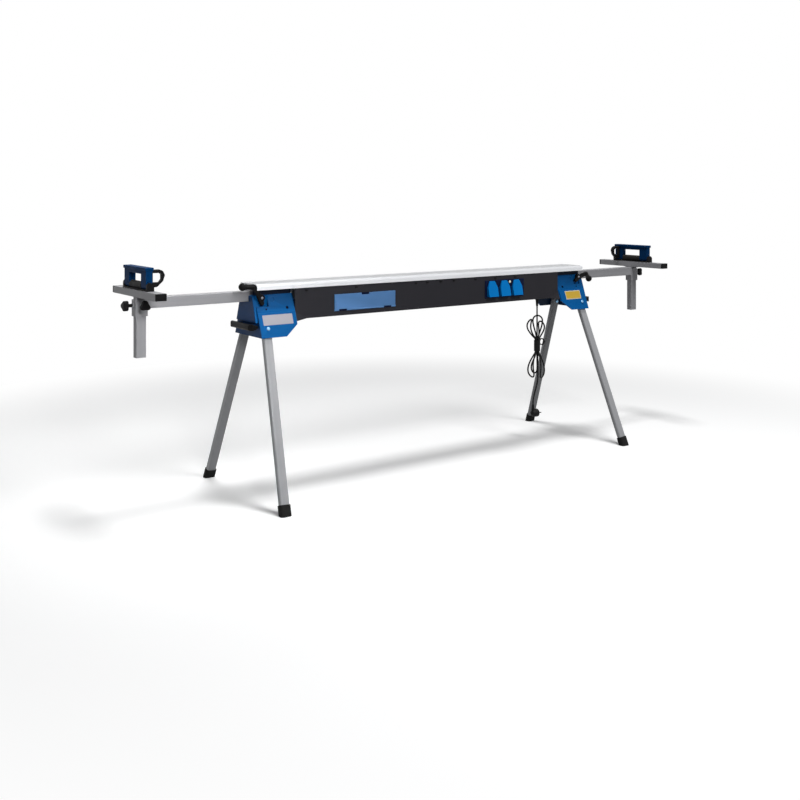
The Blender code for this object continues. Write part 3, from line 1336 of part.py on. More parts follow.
build_rail()
for side_name, side in SIDES:
    build_housing(side_name, side)
    build_bail(side_name, side)
    build_lever(side_name, side)
    for row_name, row in (("front", -1), ("rear", 1)):
        build_leg(side_name, side, row_name, row)
for (side_name, side), reach, bar_shift, rest_shift in zip(SIDES, ARM_REACH, TBAR_SHIFT, REST_SHIFT):
    build_support(side_name, side, reach, bar_shift, rest_shift)
build_cover()
build_bin()
build_sockets()
build_cord()

# The origin is the floor under the middle of the whole length, and the left arm is out a little further
for group in (PARTS, CUTTERS):
    for obj in group.objects:
        obj.location.x += (ARM_REACH[0] - ARM_REACH[1]) / 2
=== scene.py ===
"""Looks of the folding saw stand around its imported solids.

It gives each solid a material, lights the stand as the photograph does and hangs the mains cord as one cable.
It also models the small trim, and the moulded forms that stand in for plainer solids.
"""

import math
import random

import bmesh
import bpy
from mathutils import Matrix, Vector


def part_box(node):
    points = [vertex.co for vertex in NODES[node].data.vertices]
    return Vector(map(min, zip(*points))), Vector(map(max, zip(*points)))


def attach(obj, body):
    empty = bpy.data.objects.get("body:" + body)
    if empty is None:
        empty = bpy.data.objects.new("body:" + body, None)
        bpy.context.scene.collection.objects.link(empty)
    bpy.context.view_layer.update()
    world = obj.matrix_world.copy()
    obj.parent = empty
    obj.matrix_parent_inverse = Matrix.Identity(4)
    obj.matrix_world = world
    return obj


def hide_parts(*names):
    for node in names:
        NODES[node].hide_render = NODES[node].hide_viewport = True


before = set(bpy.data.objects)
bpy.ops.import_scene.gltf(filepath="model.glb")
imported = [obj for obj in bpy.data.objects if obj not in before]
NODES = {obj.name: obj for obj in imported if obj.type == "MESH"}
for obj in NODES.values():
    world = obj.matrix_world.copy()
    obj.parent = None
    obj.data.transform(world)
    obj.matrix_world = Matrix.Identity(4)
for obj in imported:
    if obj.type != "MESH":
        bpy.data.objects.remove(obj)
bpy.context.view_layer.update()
SCENE = bpy.context.scene

SIDES = (("left", -1), ("right", 1))
ROWS = (("front", -1), ("rear", 1))
SHIFT_X = 0.0065  # from the drawing's middle of the stand to the frame's

# The camera of the photograph: its place, its turn about Z, its lens and sensor in millimetres
CAMERA_PLACE = (-2.842, -3.7314, 1.2186)
CAMERA_YAW_DEG = -35.774
CAMERA_LENS = 46.47
CAMERA_SENSOR = 36.0
CAMERA_SHIFT_Y = -0.2602

# Area lights: name, place, size, power, target and spread in degrees
LAMPS = (
    ("key", (0.9, -4.4, 4.9), 2.4, 190.0, (0.0, 0.0, 0.5), 180.0),
    ("overhead", (0.0, -0.3, 6.0), 1.2, 175.0, (0.0, -0.1, 0.0), 180.0),
    ("left", (-1.9, -3.2, 2.2), 0.8, 3.6, (-1.38, 0.0, 0.75), 38.0),
)
AMBIENT = 0.14
AMBIENT_COLOUR = (0.96, 0.98, 1.0, 1.0)
WHITE = (1.0, 1.0, 1.0, 1.0)

FLOOR_HALF = 30.0
FLOOR_CELLS = 4
FLOOR_DROP = 0.0002
FLOOR_ROUGHNESS = 0.9
FLOOR_COLOUR = 0.97
FLOOR_BOUNCE = 0.30  # the grey that it has for the light which it throws back on the stand
FLOOR_GLOW = 0.12  # its own light where it is seen, which keeps its shadows soft
FLOOR_FADE = (1.9, 3.2)  # distances from the middle between which it turns plain white

# The legs' bolts and feet: along, across and over the floor. The housings' fronts slope as the legs do
LEG_BOLT = (0.878, 0.0845, 0.668)
LEG_FOOT = (0.930, 0.330)
SLOPE = 0.36751  # out for each metre down
SLOPE_STRETCH = 1.06539  # a length square to the slope, measured across the stand
SLOPE_OUT = 0.0196  # from the legs' own plane out to the housings' face
SLOPE_FACE = LEG_BOLT[1] + SLOPE_OUT * SLOPE_STRETCH

# Between what places each painted shade on a housing grows from none to its full share
HOUSING_SHADE_RISE = (0.725, 0.790)  # its painted shade under the rail, in height
SADDLE_FROM = (0.8060, 0.8066)  # the saddle under the rail, where its painted shadow starts, in height
POCKET_ACROSS = (0.0475, 0.0460)  # the lever pocket's painted shade, from the middle plane
POCKET_ALONG = (0.9085, 0.9075)  # the pocket's outer end, from the middle
FAR_WALL_ACROSS = (0.0, 0.005)  # the rear half, whose wall seen from inside is given painted shade


# ---------------------------------------------------------------- materials

def node(tree, kind, **values):
    """A new node. A value goes to the setting of that name, or else to the socket."""
    made = tree.nodes.new(kind)
    for key, value in values.items():
        if hasattr(made, key):
            setattr(made, key, value)
        else:
            made.inputs[key].default_value = value
    return made


def scaled(colour, share):
    return tuple(min(1.0, c * share) for c in colour)


class Paint:
    """A Principled material with small helpers for the nodes that feed it. Places are the part's own, in metres."""

    EDGE_POINTINESS = (0.52, 0.60)

    def __init__(self, name, colour, roughness, metallic=0.0, specular=0.2):
        self.material = bpy.data.materials.new(name)
        self.material.use_nodes = True
        self.tree = self.material.node_tree
        self.shader = self.tree.nodes["Principled BSDF"]
        self.colour = (*colour, 1.0)
        self.put("Base Color", self.colour)
        self.put("Roughness", roughness)
        self.put("Metallic", metallic)
        self.put("Specular IOR Level", specular)
        self.material.diffuse_color = self.colour
        self.normal = None

    def put(self, socket, value):
        self.shader.inputs[socket].default_value = value

    def node(self, kind, **values):
        return node(self.tree, kind, **values)

    def link(self, source, target):
        self.tree.links.new(source, target)

    def place(self, scale=(1, 1, 1), turn=(0, 0, 0)):
        """Object coordinates, turned and then stretched: a large scale packs the pattern closely."""
        coordinates = self.node("ShaderNodeTexCoord")
        mapping = self.node(
            "ShaderNodeMapping", vector_type="TEXTURE", Rotation=turn, Scale=[1.0 / s for s in scale],
        )
        self.link(coordinates.outputs["Object"], mapping.inputs["Vector"])
        return mapping.outputs["Vector"]

    def axes(self, source, output):
        """The three parts of a vector that a node gives."""
        split = self.node("ShaderNodeSeparateXYZ")
        self.link(self.node(source).outputs[output], split.inputs["Vector"])
        return split.outputs

    def facing(self, axis="Z"):
        """How far the surface faces along an axis of the part, from -1 to 1."""
        return self.axes("ShaderNodeNewGeometry", "Normal")[axis]

    def noise(self, scale, detail=3.0, stretch=(1, 1, 1), turn=(0, 0, 0)):
        made = self.node("ShaderNodeTexNoise", Scale=scale, Detail=detail)
        self.link(self.place(stretch, turn), made.inputs["Vector"])
        return made.outputs["Fac"]

    def spread(self, value, low, high, to_low=0.0, to_high=1.0):
        made = self.node(
            "ShaderNodeMapRange", clamp=True,
            **{"From Min": low, "From Max": high, "To Min": to_low, "To Max": to_high},
        )
        self.link(value, made.inputs["Value"])
        return made.outputs["Result"]

    def math(self, operation, a, b=0.0, clamp=True):
        made = self.node("ShaderNodeMath", operation=operation, use_clamp=clamp)
        for socket, value in zip(made.inputs, (a, b)):
            if isinstance(value, (int, float)):
                socket.default_value = value
            else:
                self.link(value, socket)
        return made.outputs["Value"]

    def tint(self, mask, colour):
        """Turns the base colour toward another where the mask is high."""
        made = self.node("ShaderNodeMix", data_type="RGBA", clamp_factor=True)
        base = self.shader.inputs["Base Color"]
        if base.is_linked:
            self.link(base.links[0].from_socket, made.inputs["A"])
        else:
            made.inputs["A"].default_value = self.colour
        made.inputs["B"].default_value = (*colour, 1.0)
        self.link(mask, made.inputs["Factor"])
        self.link(made.outputs["Result"], base)

    def stain_or_shade(self, pattern, colour, share, low, high, most=1.0):
        """Turns the colour toward a share of it where the pattern runs from low to high. It makes patchy tone, and
        also painted shade and highlight where the pattern is a facing or a height.
        """
        self.tint(self.spread(pattern, low, high, 0.0, most), scaled(colour, share))

    def shade(self, mask, colour, share, most):
        """Turns the colour toward a share of it by a mask, and at most so far."""
        self.tint(self.math("MULTIPLY", mask, most), scaled(colour, share))

    def wear(self, colour, share, most):
        """Makes the colour paler along outer edges, where handling polishes a surface."""
        geometry = self.node("ShaderNodeNewGeometry")
        edges = self.spread(geometry.outputs["Pointiness"], *self.EDGE_POINTINESS)
        self.shade(edges, colour, share, most)

    def rough(self, pattern, roughness, less, more):
        """Lets the roughness run a little to both sides by a pattern."""
        uneven = self.spread(pattern, 0.3, 0.7, roughness - less, roughness + more)
        self.link(uneven, self.shader.inputs["Roughness"])

    def bump(self, value, strength, distance):
        made = self.node("ShaderNodeBump", Strength=strength, Distance=distance)
        self.link(value, made.inputs["Height"])
        if self.normal:
            self.link(self.normal, made.inputs["Normal"])
        self.normal = made.outputs["Normal"]
        self.link(self.normal, self.shader.inputs["Normal"])


# How closely patterns are packed, per metre: drawn profiles across and along, and scuffs on mouldings
DRAWN_LINES, DRAWN_LINE_RUN = 900.0, 6.0
DRAWN_BANDS, DRAWN_BAND_RUN = 60.0, 0.8
SCUFF_STRETCH, SCUFF_TURN = (40.0, 700.0, 260.0), (0.3, 0.2, 0.6)
DUST = (0.075, 0.072, 0.068)


def extruded(name, colour, axis_turn=(0, 0, 0), along=0, roughness=0.36, metallic=0.25):
    """Drawn aluminium: fine lines along the profile, faint bands across and a soft satin sheen."""
    paint = Paint(name, colour, roughness, metallic)
    lines, bands = [DRAWN_LINES] * 3, [DRAWN_BANDS] * 3
    lines[along], bands[along] = DRAWN_LINE_RUN, DRAWN_BAND_RUN
    fine = paint.noise(1.0, 2.0, lines, axis_turn)
    broad = paint.noise(1.0, 2.0, bands, axis_turn)
    cloud = paint.noise(4.0, 1.0)
    paint.stain_or_shade(fine, colour, share=0.72, low=0.42, high=0.72, most=0.30)
    paint.stain_or_shade(broad, colour, share=1.16, low=0.40, high=0.70, most=0.35)
    paint.stain_or_shade(cloud, colour, share=0.86, low=0.40, high=0.80, most=0.30)
    paint.rough(cloud, roughness, less=0.03, more=0.08)
    paint.bump(fine, strength=0.22, distance=0.0002)
    return paint


def moulded(name, colour, roughness=0.42, grain=1500.0, strength=0.16, lift=1.35, specular=0.07):
    """Moulded plastic: a fine spark-eroded grain, slow sheen changes and paler handled edges."""
    paint = Paint(name, colour, roughness, specular=specular)
    cloud = paint.noise(9.0, 4.0)
    scuffs = paint.noise(1.0, 3.0, SCUFF_STRETCH, SCUFF_TURN)
    paint.stain_or_shade(cloud, colour, share=0.80, low=0.35, high=0.70, most=0.35)
    paint.stain_or_shade(scuffs, colour, share=lift * 1.3, low=0.66, high=0.80, most=0.18)
    paint.wear(colour, share=lift * 1.2, most=0.35)
    paint.rough(cloud, roughness, less=0.07, more=0.12)
    paint.bump(paint.noise(grain, 2.0), strength, distance=0.0002)
    return paint


def coated(name, colour, roughness=0.44):
    """Powder coat on steel: orange peel, tiny flecks and a low sheen."""
    paint = Paint(name, colour, roughness, specular=0.03)
    cloud = paint.noise(11.0, 4.0)
    paint.stain_or_shade(cloud, colour, share=0.78, low=0.35, high=0.70, most=0.40)
    paint.stain_or_shade(paint.noise(2600.0, 1.0), colour, share=1.5, low=0.62, high=0.75, most=0.25)
    paint.wear(colour, share=1.6, most=0.3)
    paint.rough(cloud, roughness, less=0.06, more=0.12)
    paint.bump(paint.noise(520.0, 2.0), strength=0.20, distance=0.0005)
    return paint


def rubbery(name, colour, roughness=0.72, strength=0.3):
    """Matt rubber with a dusty bloom on what faces up."""
    paint = Paint(name, colour, roughness, specular=0.12)
    cloud = paint.noise(24.0, 5.0)
    paint.stain_or_shade(cloud, colour, share=1.9, low=0.40, high=0.75, most=0.45)
    upward = paint.spread(paint.facing("Z"), 0.2, 0.9)
    paint.tint(paint.math("MULTIPLY", upward, paint.spread(cloud, 0.3, 0.7, 0.1, 0.5)), DUST)
    paint.rough(cloud, roughness, less=0.10, more=0.12)
    paint.bump(paint.noise(1100.0, 3.0), strength, distance=0.0003)
    return paint


def plated(name, colour, roughness=0.28):
    """Zinc-plated steel: cloudy, with fine turning marks."""
    paint = Paint(name, colour, roughness, metallic=0.9)
    cloud = paint.noise(60.0, 5.0)
    paint.stain_or_shade(cloud, colour, share=0.72, low=0.40, high=0.70, most=0.5)
    paint.rough(cloud, roughness, less=0.08, more=0.16)
    paint.bump(paint.noise(1800.0, 2.0), strength=0.15, distance=0.0001)
    return paint


def glowing(name, colour, deep, light, glow):
    """The ribbed lens of a lamp, with a faint glow painted on as a highlight."""
    paint = Paint(name, colour, 0.22)
    paint.put("Transmission Weight", 0.15)
    # The emission is a painted highlight that lifts the lens toward white.
    paint.put("Emission Color", (*light, 1.0))
    paint.put("Emission Strength", glow)
    ribs = paint.node("ShaderNodeTexWave", bands_direction="X", Scale=300.0)
    paint.link(paint.place(), ribs.inputs["Vector"])
    paint.bump(ribs.outputs["Fac"], strength=0.4, distance=0.0003)
    paint.tint(paint.spread(paint.noise(500.0), 0.4, 0.7, 0.0, 0.3), deep)
    return paint


# Colours as the materials hold them, linear
RAIL = (0.68, 0.69, 0.71)
TUBE = (0.31, 0.31, 0.325)
LEG = (0.37, 0.375, 0.39)
BLUE = (0.0002, 0.088, 0.285)
# the housings' ends in painted shade
END_SHADE_BLUE = (0.014, 0.022, 0.070)
# the saddle under the rail, painted dark as shadow
SADDLE_SHADOW = (0.008, 0.014, 0.030)
STOP_BLUE = (0.0010, 0.029, 0.101)
LID = (0.105, 0.245, 0.510)
FLAP = (0.0003, 0.190, 0.570)
PANEL = (0.0260, 0.0253, 0.0300)
BLACK = (0.0058, 0.0058, 0.0063)
NAVY = (0.0030, 0.0070, 0.030)
RUBBER = (0.0075, 0.0075, 0.0075)
CORD = (0.0060, 0.0060, 0.0062)
PLUG = (0.0070, 0.0070, 0.0075)
STEEL = (0.60, 0.60, 0.62)
BLUED_STEEL = (0.22, 0.42, 0.62)
DARK_STEEL = (0.20, 0.20, 0.22)
SILVER = (0.372, 0.362, 0.402)
YELLOW = (0.570, 0.370, 0.042)
CREAM = (0.62, 0.56, 0.40)
# The lens's colour, its deeper tone, and the colour of the glow painted on it as a highlight
LENS, LENS_DEEP, LENS_GLOW_PAINTED = (0.86, 0.82, 0.66), (0.74, 0.62, 0.40), (0.95, 0.86, 0.66)

FINISHES = {
    "rail": extruded("rail_aluminium", RAIL, roughness=0.33, metallic=0.30),
    "beam": extruded("beam_aluminium", scaled(RAIL, 0.8)),
    "arm": extruded("arm_aluminium", TUBE, roughness=0.40, metallic=0.08),
    "post": extruded("post_aluminium", TUBE, along=2, roughness=0.42, metallic=0.08),
    "panel": moulded("panel_plastic", PANEL, 0.46, 1300.0, 0.20),
    "bin": moulded("bin_plastic", NAVY, 0.48),
    "lid": moulded("lid_plastic", LID, 0.30, 1700.0, 0.08, 1.25, 0.12),
    "socket": moulded("socket_plastic", NAVY, 0.40),
    "flap": moulded("flap_plastic", FLAP, 0.32, 1700.0, 0.08, 1.3, 0.08),
    "housing": moulded("housing_plastic", BLUE, 0.36, 1500.0, 0.10, 1.4, 0.07),
    "stop": coated("stop_coat", STOP_BLUE),
    "black": moulded("black_plastic", BLACK, 0.44, 1200.0, 0.22),
    "knob": moulded("knob_plastic", BLACK, 0.50, 900.0, 0.30),
    "clip": moulded("clip_plastic", scaled(BLACK, 1.8), 0.40, 1400.0, 0.15),
    "rubber": rubbery("foot_rubber", RUBBER),
    "roller": rubbery("roller_rubber", RUBBER, 0.60, 0.2),
    "cord": rubbery("cord_rubber", CORD, 0.50, 0.15),
    "plug": rubbery("plug_rubber", PLUG, 0.48, 0.2),
    "steel": plated("plated_steel", STEEL),
    "bolt": plated("bolt_steel", BLUED_STEEL, 0.36),
    "screw": plated("screw_steel", DARK_STEEL, 0.40),
    "plate_silver": moulded("plate_silver", SILVER, 0.34, 900.0, 0.05, 1.1, 0.2),
    "plate_yellow": moulded("plate_yellow", YELLOW, 0.38, 900.0, 0.05, 1.1, 0.2),
    "plate_border": moulded("plate_border", CREAM, 0.38, 900.0, 0.05, 1.1, 0.2),
    "lamp": glowing("lamp_lens", LENS, LENS_DEEP, LENS_GLOW_PAINTED, 0.30),
}


def paint_rail_shade_and_highlight():
    """Painted shade makes the flat of the rail darker than its rolled front shoulder, and a painted highlight
    brightens its front lip.
    """
    paint = FINISHES["rail"]
    # Painted shade: the upward flat is darkened.
    paint.stain_or_shade(paint.facing("Z"), RAIL, share=0.49, low=0.86, high=0.985, most=0.9)
    # Painted highlight: faces turned to the front are lightened.
    paint.stain_or_shade(paint.facing("Y"), RAIL, share=1.36, low=-0.90, high=-0.995)


def shade_housing():
    """Painted shade darkens the housing's blue upward, under the rail. Its saddle, lever pocket, outer end and far
    wall inside are darkened with painted shade too.
    """
    paint = FINISHES["housing"]
    place = paint.axes("ShaderNodeTexCoord", "Object")
    across = paint.math("ABSOLUTE", place["Y"], clamp=False)
    along = paint.math("SUBTRACT", place["X"], SHIFT_X, clamp=False)
    out = paint.math("ABSOLUTE", along, clamp=False)
    # Painted shade: the blue darkens upward toward the rail.
    paint.stain_or_shade(place["Z"], BLUE, 0.45, *HOUSING_SHADE_RISE, most=0.55)
    # Painted shade in the lever pocket round the crank.
    pocket = paint.math("MULTIPLY", paint.spread(across, *POCKET_ACROSS), paint.spread(out, *POCKET_ALONG))
    paint.shade(pocket, BLUE, share=0.16, most=0.75)
    # Painted shade on the rear wall's inner face, seen under the cover.
    far_wall = paint.math(
        "MULTIPLY", paint.spread(place["Y"], *FAR_WALL_ACROSS), paint.spread(paint.facing("Y"), -0.2, -0.4),
    )
    paint.shade(far_wall, BLUE, share=0.07, most=0.9)
    # Painted shade on every face turned toward -X, such as the left housing's outer end.
    paint.tint(paint.spread(paint.facing("X"), -0.85, -0.97, 0.0, 0.55), END_SHADE_BLUE)
    # Painted shadow on the saddle under the rail's skirt.
    paint.tint(paint.spread(place["Z"], *SADDLE_FROM), SADDLE_SHADOW)


def finish_legs_and_shade_undersides():
    """Each leg has its lines along its own tube, and painted shade darkens it where it faces down."""
    for side_name, side in SIDES:
        for row_name, row in ROWS:
            up = Vector((side * (LEG_BOLT[0] - LEG_FOOT[0]), row * (LEG_BOLT[1] - LEG_FOOT[1]), LEG_BOLT[2]))
            turn = Vector((0, 0, 1)).rotation_difference(up.normalized()).to_euler()
            tube = extruded(f"leg_aluminium_{row_name}_{side_name}", LEG, turn, 2, 0.38, 0.06)
            # Painted shade on the faces turned down.
            tube.stain_or_shade(tube.facing("Z"), LEG, share=0.66, low=-0.10, high=-0.30, most=0.9)
            FINISHES[f"leg_{row_name}_{side_name}"] = tube


paint_rail_shade_and_highlight()
shade_housing()
finish_legs_and_shade_undersides()

# The finish of each node by how its name starts, where it has none of its own
NODE_FINISH = (
    ("top_rail", "rail"), ("beam_cover", "panel"), ("beam", "beam"), ("storage_bin", "bin"),
    ("storage_lid", "lid"), ("lid_pin", "steel"), ("socket_block", "socket"), ("socket_flap", "flap"),
    ("housing", "housing"), ("leg_bolt", "bolt"), ("release_handle", "black"), ("clamp_lever", "black"),
    ("arm", "arm"), ("support_post", "post"), ("bar_cap", "black"), ("rest_base", "black"),
    ("work_stop", "stop"), ("grip", "black"), ("roller", "roller"), ("knob", "knob"), ("foot", "rubber"),
    ("cable_gland", "black"), ("cord", "cord"), ("mains_plug", "plug"), ("pilot_lamp", "lamp"),
)

# The least angle at which an edge is broken rather than smoothed over
FLAT_ANGLE, ROUND_ANGLE = 20.0, 38.0
FLAT_NODES = (
    "top_rail", "beam", "storage", "socket", "housing", "arm", "support_post", "bar_cap", "rest_base",
    "work_stop",
)
SMOOTH_NODES = ("beam_cover",)
EDGE_WIDTH = 0.0005
MERGE_WITHIN = 1e-6
FLAT_WITHIN = 0.6  # degrees between faces that are one flat face
FACE_WEIGHT = 100  # how far large faces decide the shading


def finish_for(name):
    if name in FINISHES:
        return FINISHES[name]
    return FINISHES[next(key for start, key in NODE_FINISH if name.startswith(start))]


def angle_for(name):
    flat = name.startswith(FLAT_NODES) and not name.startswith(SMOOTH_NODES)
    return FLAT_ANGLE if flat else ROUND_ANGLE


def dress(obj, finish, edge=EDGE_WIDTH, segments=2, angle=ROUND_ANGLE):
    """Gives the piece its finish, and breaks its sharp edges as a real moulding or tube has them."""
    obj.data.materials.clear()
    obj.data.materials.append(finish.material)
    if obj.type != "MESH":
        return
    obj.data.polygons.foreach_set("use_smooth", [True] * len(obj.data.polygons))
    weld = obj.modifiers.new("weld", "WELD")
    weld.merge_threshold = MERGE_WITHIN
    flat = obj.modifiers.new("flat faces", "DECIMATE")
    flat.decimate_type = "DISSOLVE"
    flat.angle_limit = math.radians(FLAT_WITHIN)
    if edge:
        bevel = obj.modifiers.new("edges", "BEVEL")
        bevel.width = edge
        bevel.segments = segments
        bevel.limit_method = "ANGLE"
        bevel.angle_limit = math.radians(angle)
        bevel.harden_normals = False
        bevel.use_clamp_overlap = True
    normals = obj.modifiers.new("normals", "WEIGHTED_NORMAL")
    normals.keep_sharp = True
    normals.weight = FACE_WEIGHT


for node_name, solid in NODES.items():
    dress(solid, finish_for(node_name), angle=angle_for(node_name))


# ---------------------------------------------------------------- camera and studio

def place_camera():
    data = bpy.data.cameras.new("camera")
    data.lens = CAMERA_LENS
    data.sensor_width = CAMERA_SENSOR
    data.shift_y = CAMERA_SHIFT_Y
    camera = bpy.data.objects.new("camera", data)
    camera.location = CAMERA_PLACE
    camera.rotation_euler = (math.radians(90), 0, math.radians(CAMERA_YAW_DEG))
    SCENE.collection.objects.link(camera)
    SCENE.camera = camera


def lamp(name, place, size, power, target, spread):
    data = bpy.data.lights.new(name, "AREA")
    data.shape = "DISK"
    data.size = size
    data.energy = power
    data.spread = math.radians(spread)
    obj = bpy.data.objects.new(name, data)
    obj.location = place
    obj.rotation_euler = (Vector(target) - Vector(place)).to_track_quat("-Z", "Y").to_euler()
    SCENE.collection.objects.link(obj)


def seen(tree, path):
    """1 for what the camera, a gloss or a glass sees, and 0 for what only lights another surface."""
    value = path.outputs["Is Camera Ray"]
    for ray in ("Is Glossy Ray", "Is Transmission Ray"):
        either = node(tree, "ShaderNodeMath", operation="MAXIMUM")
        tree.links.new(value, either.inputs[0])
        tree.links.new(path.outputs[ray], either.inputs[1])
        value = either.outputs["Value"]
    return value


def light_world():
    """Soft even light, and plain white where the camera, a gloss or a glass looks past the floor."""
    world = bpy.data.worlds.new("studio")
    SCENE.world = world
    world.use_nodes = True
    tree = world.node_tree
    tree.nodes.clear()
    ambient = node(tree, "ShaderNodeBackground", Color=AMBIENT_COLOUR, Strength=AMBIENT)
    white = node(tree, "ShaderNodeBackground", Color=WHITE, Strength=1.0)
    mix = node(tree, "ShaderNodeMixShader")
    out = node(tree, "ShaderNodeOutputWorld")
    link = tree.links.new
    link(seen(tree, node(tree, "ShaderNodeLightPath")), mix.inputs["Fac"])
    link(ambient.outputs["Background"], mix.inputs[1])
    link(white.outputs["Background"], mix.inputs[2])
    link(mix.outputs["Shader"], out.inputs["Surface"])


def mesh_object(name, bm):
    """A new object in the scene with this mesh."""
    mesh = bpy.data.meshes.new(name)
    bm.to_mesh(mesh)
    bm.free()
    obj = bpy.data.objects.new(name, mesh)
    SCENE.collection.objects.link(obj)
    return obj


def grey(level):
    return (level, level, level, 1.0)


def lay_floor():
    """A pale floor that keeps the stand's shadow and turns plain white further out."""
    bm = bmesh.new()
    bmesh.ops.create_grid(bm, x_segments=FLOOR_CELLS, y_segments=FLOOR_CELLS, size=FLOOR_HALF)
    floor = mesh_object("floor", bm)
    floor.location.z = -FLOOR_DROP
    material = bpy.data.materials.new("floor")
    material.use_nodes = True
    floor.data.materials.append(material)
    tree = material.node_tree
    link = tree.links.new
    diffuse = tree.nodes["Principled BSDF"]
    diffuse.inputs["Roughness"].default_value = FLOOR_ROUGHNESS
    diffuse.inputs["Specular IOR Level"].default_value = 0.0
    diffuse.inputs["Emission Color"].default_value = WHITE

    path = node(tree, "ShaderNodeLightPath")
    look = seen(tree, path)
    bounce = node(tree, "ShaderNodeMix", data_type="RGBA", A=grey(FLOOR_COLOUR), B=grey(FLOOR_BOUNCE))
    link(path.outputs["Is Diffuse Ray"], bounce.inputs["Factor"])
    link(bounce.outputs["Result"], diffuse.inputs["Base Color"])
    glow = node(tree, "ShaderNodeMath", operation="MULTIPLY")
    glow.inputs[1].default_value = FLOOR_GLOW
    link(look, glow.inputs[0])
    link(glow.outputs["Value"], diffuse.inputs["Emission Strength"])

    length = node(tree, "ShaderNodeVectorMath", operation="LENGTH")
    link(node(tree, "ShaderNodeTexCoord").outputs["Object"], length.inputs[0])
    fade = node(
        tree, "ShaderNodeMapRange", interpolation_type="SMOOTHSTEP",
        **{"From Min": FLOOR_FADE[0], "From Max": FLOOR_FADE[1]},
    )
    link(length.outputs["Value"], fade.inputs["Value"])
    share = node(tree, "ShaderNodeMath", operation="MULTIPLY")
    link(fade.outputs["Result"], share.inputs[0])
    link(look, share.inputs[1])

    white = node(tree, "ShaderNodeEmission", Strength=1.0)
    mix = node(tree, "ShaderNodeMixShader")
    link(share.outputs["Value"], mix.inputs["Fac"])
    link(diffuse.outputs["BSDF"], mix.inputs[1])
    link(white.outputs["Emission"], mix.inputs[2])
    link(mix.outputs["Shader"], tree.nodes["Material Output"].inputs["Surface"])


place_camera()
for values in LAMPS:
    lamp(*values)
light_world()
lay_floor()
SCENE.view_settings.view_transform = "Standard"


# ---------------------------------------------------------------- mains cord

CORD_DIAMETER = 0.0075
CORD_ROUND, CORD_ALONG = 4, 5  # how finely the cable is divided
CORD_ROUTE_MM = (
    (678.5, 0, 655.7), (678.5, 0, 642.3), (678.5, 0, 628.9), (678.5, 0, 615.5), (678.5, 0, 602.1),
    (678.5, 0, 588.7), (678.5, 0, 575), (678.5, 0, 567.5), (678.5, 0, 492), (678.5, 0, 432),
    (678.5, 0, 389.8), (678.5, 0, 347.5), (678.8, 3.1, 335.8), (679.7, 11.7, 327.1), (681, 23.4, 324),
    (682.2, 35.1, 327.1), (683.1, 43.6, 335.8), (683.4, 46.7, 347.5), (682.8, 40.7, 368.6),
    (681.4, 27.5, 389.8), (680, 14.3, 410.9), (679.4, 8.3, 432), (679.4, 8.3, 492),
    (675.8, 23.7, 510.2), (676.7, 37.8, 528.4), (679.8, 46.8, 546.6), (682.5, 48.1, 564.8),
    (681.1, 43.6, 576.4), (675.1, 36.2, 584.9), (665.2, 29.8, 588), (653.9, 26.8, 584.9),
    (644.4, 27.2, 576.4), (640.1, 29.3, 564.8), (642.8, 30.4, 546.6), (651.7, 26.6, 528.4),
    (662.7, 17.9, 510.2), (671.8, 4.9, 492), (671.8, 4.9, 432), (657.5, 9.4, 407.3),
    (646.8, 17.1, 382.6), (642, 24.2, 357.9), (643.7, 27, 333.2), (646.5, 23.6, 321.6),
    (648.8, 14.8, 313.1), (648.8, 3.1, 310), (646.3, -8.3, 313.1), (642.3, -16.4, 321.6),
    (638.9, -19.2, 333.2), (637.7, -16, 357.9), (644, -10.1, 382.6), (656, -4.8, 407.3),
    (670.9, -3.4, 432), (670.9, -3.4, 492), (664.2, -7.5, 516.2), (655.6, -8.3, 540.4),
    (648.6, -6.7, 564.6), (646.6, -4.4, 588.8), (650, -5, 600.4), (657.8, -8.7, 608.9),
    (667.6, -15, 612), (676.6, -22.3, 608.9), (682.5, -28.6, 600.4), (684.1, -31.7, 588.8),
    (681.3, -30.5, 564.6), (677.7, -24.4, 540.4), (675.7, -15.9, 516.2), (677.6, -8.3, 492),
    (677.6, -8.3, 432), (679, -18.8, 406.3), (676.3, -28.6, 380.6), (671.8, -34.7, 354.9),
    (668.6, -34.9, 329.2), (670.6, -31.7, 317.6), (677.5, -26.3, 309.1), (687.8, -20.8, 306),
    (698.7, -16.9, 309.1), (707.3, -15.3, 317.6), (711, -16, 329.2), (708.8, -18.3, 354.9),
    (701.3, -17.5, 380.6), (692.1, -13, 406.3), (685.2, -4.9, 432), (685.2, -4.9, 492),
    (693.3, -8.7, 508.2), (699.4, -15.9, 524.4), (702.7, -22.9, 540.6), (702.8, -25.9, 556.8),
    (701.2, -22.6, 568.4), (699.6, -13.9, 576.9), (699.7, -2.2, 580), (702, 9.2, 576.9),
    (705.4, 17.4, 568.4), (707.7, 20.3, 556.8), (706.9, 17.3, 540.6), (702.2, 11.3, 524.4),
    (694.8, 5.5, 508.2), (686.1, 3.4, 492), (686.1, 3.4, 432), (686.2, 3.4, 405.8), (686.5, 3.6, 379.5),
    (686.9, 3.7, 353.2), (687, 3.8, 327), (687, 3.8, 312), (687, 3.8, 304.2), (686, 3.7, 292.2),
    (683.3, 3.4, 280.1), (679.3, 3, 268.1), (674.5, 2.5, 256), (669.3, 1.9, 244), (664, 1.3, 232),
    (659.2, 0.8, 219.9), (655.2, 0.4, 207.9), (652.5, 0.1, 195.8), (651.5, 0, 183.8), (651.5, 0, 176.3),
)


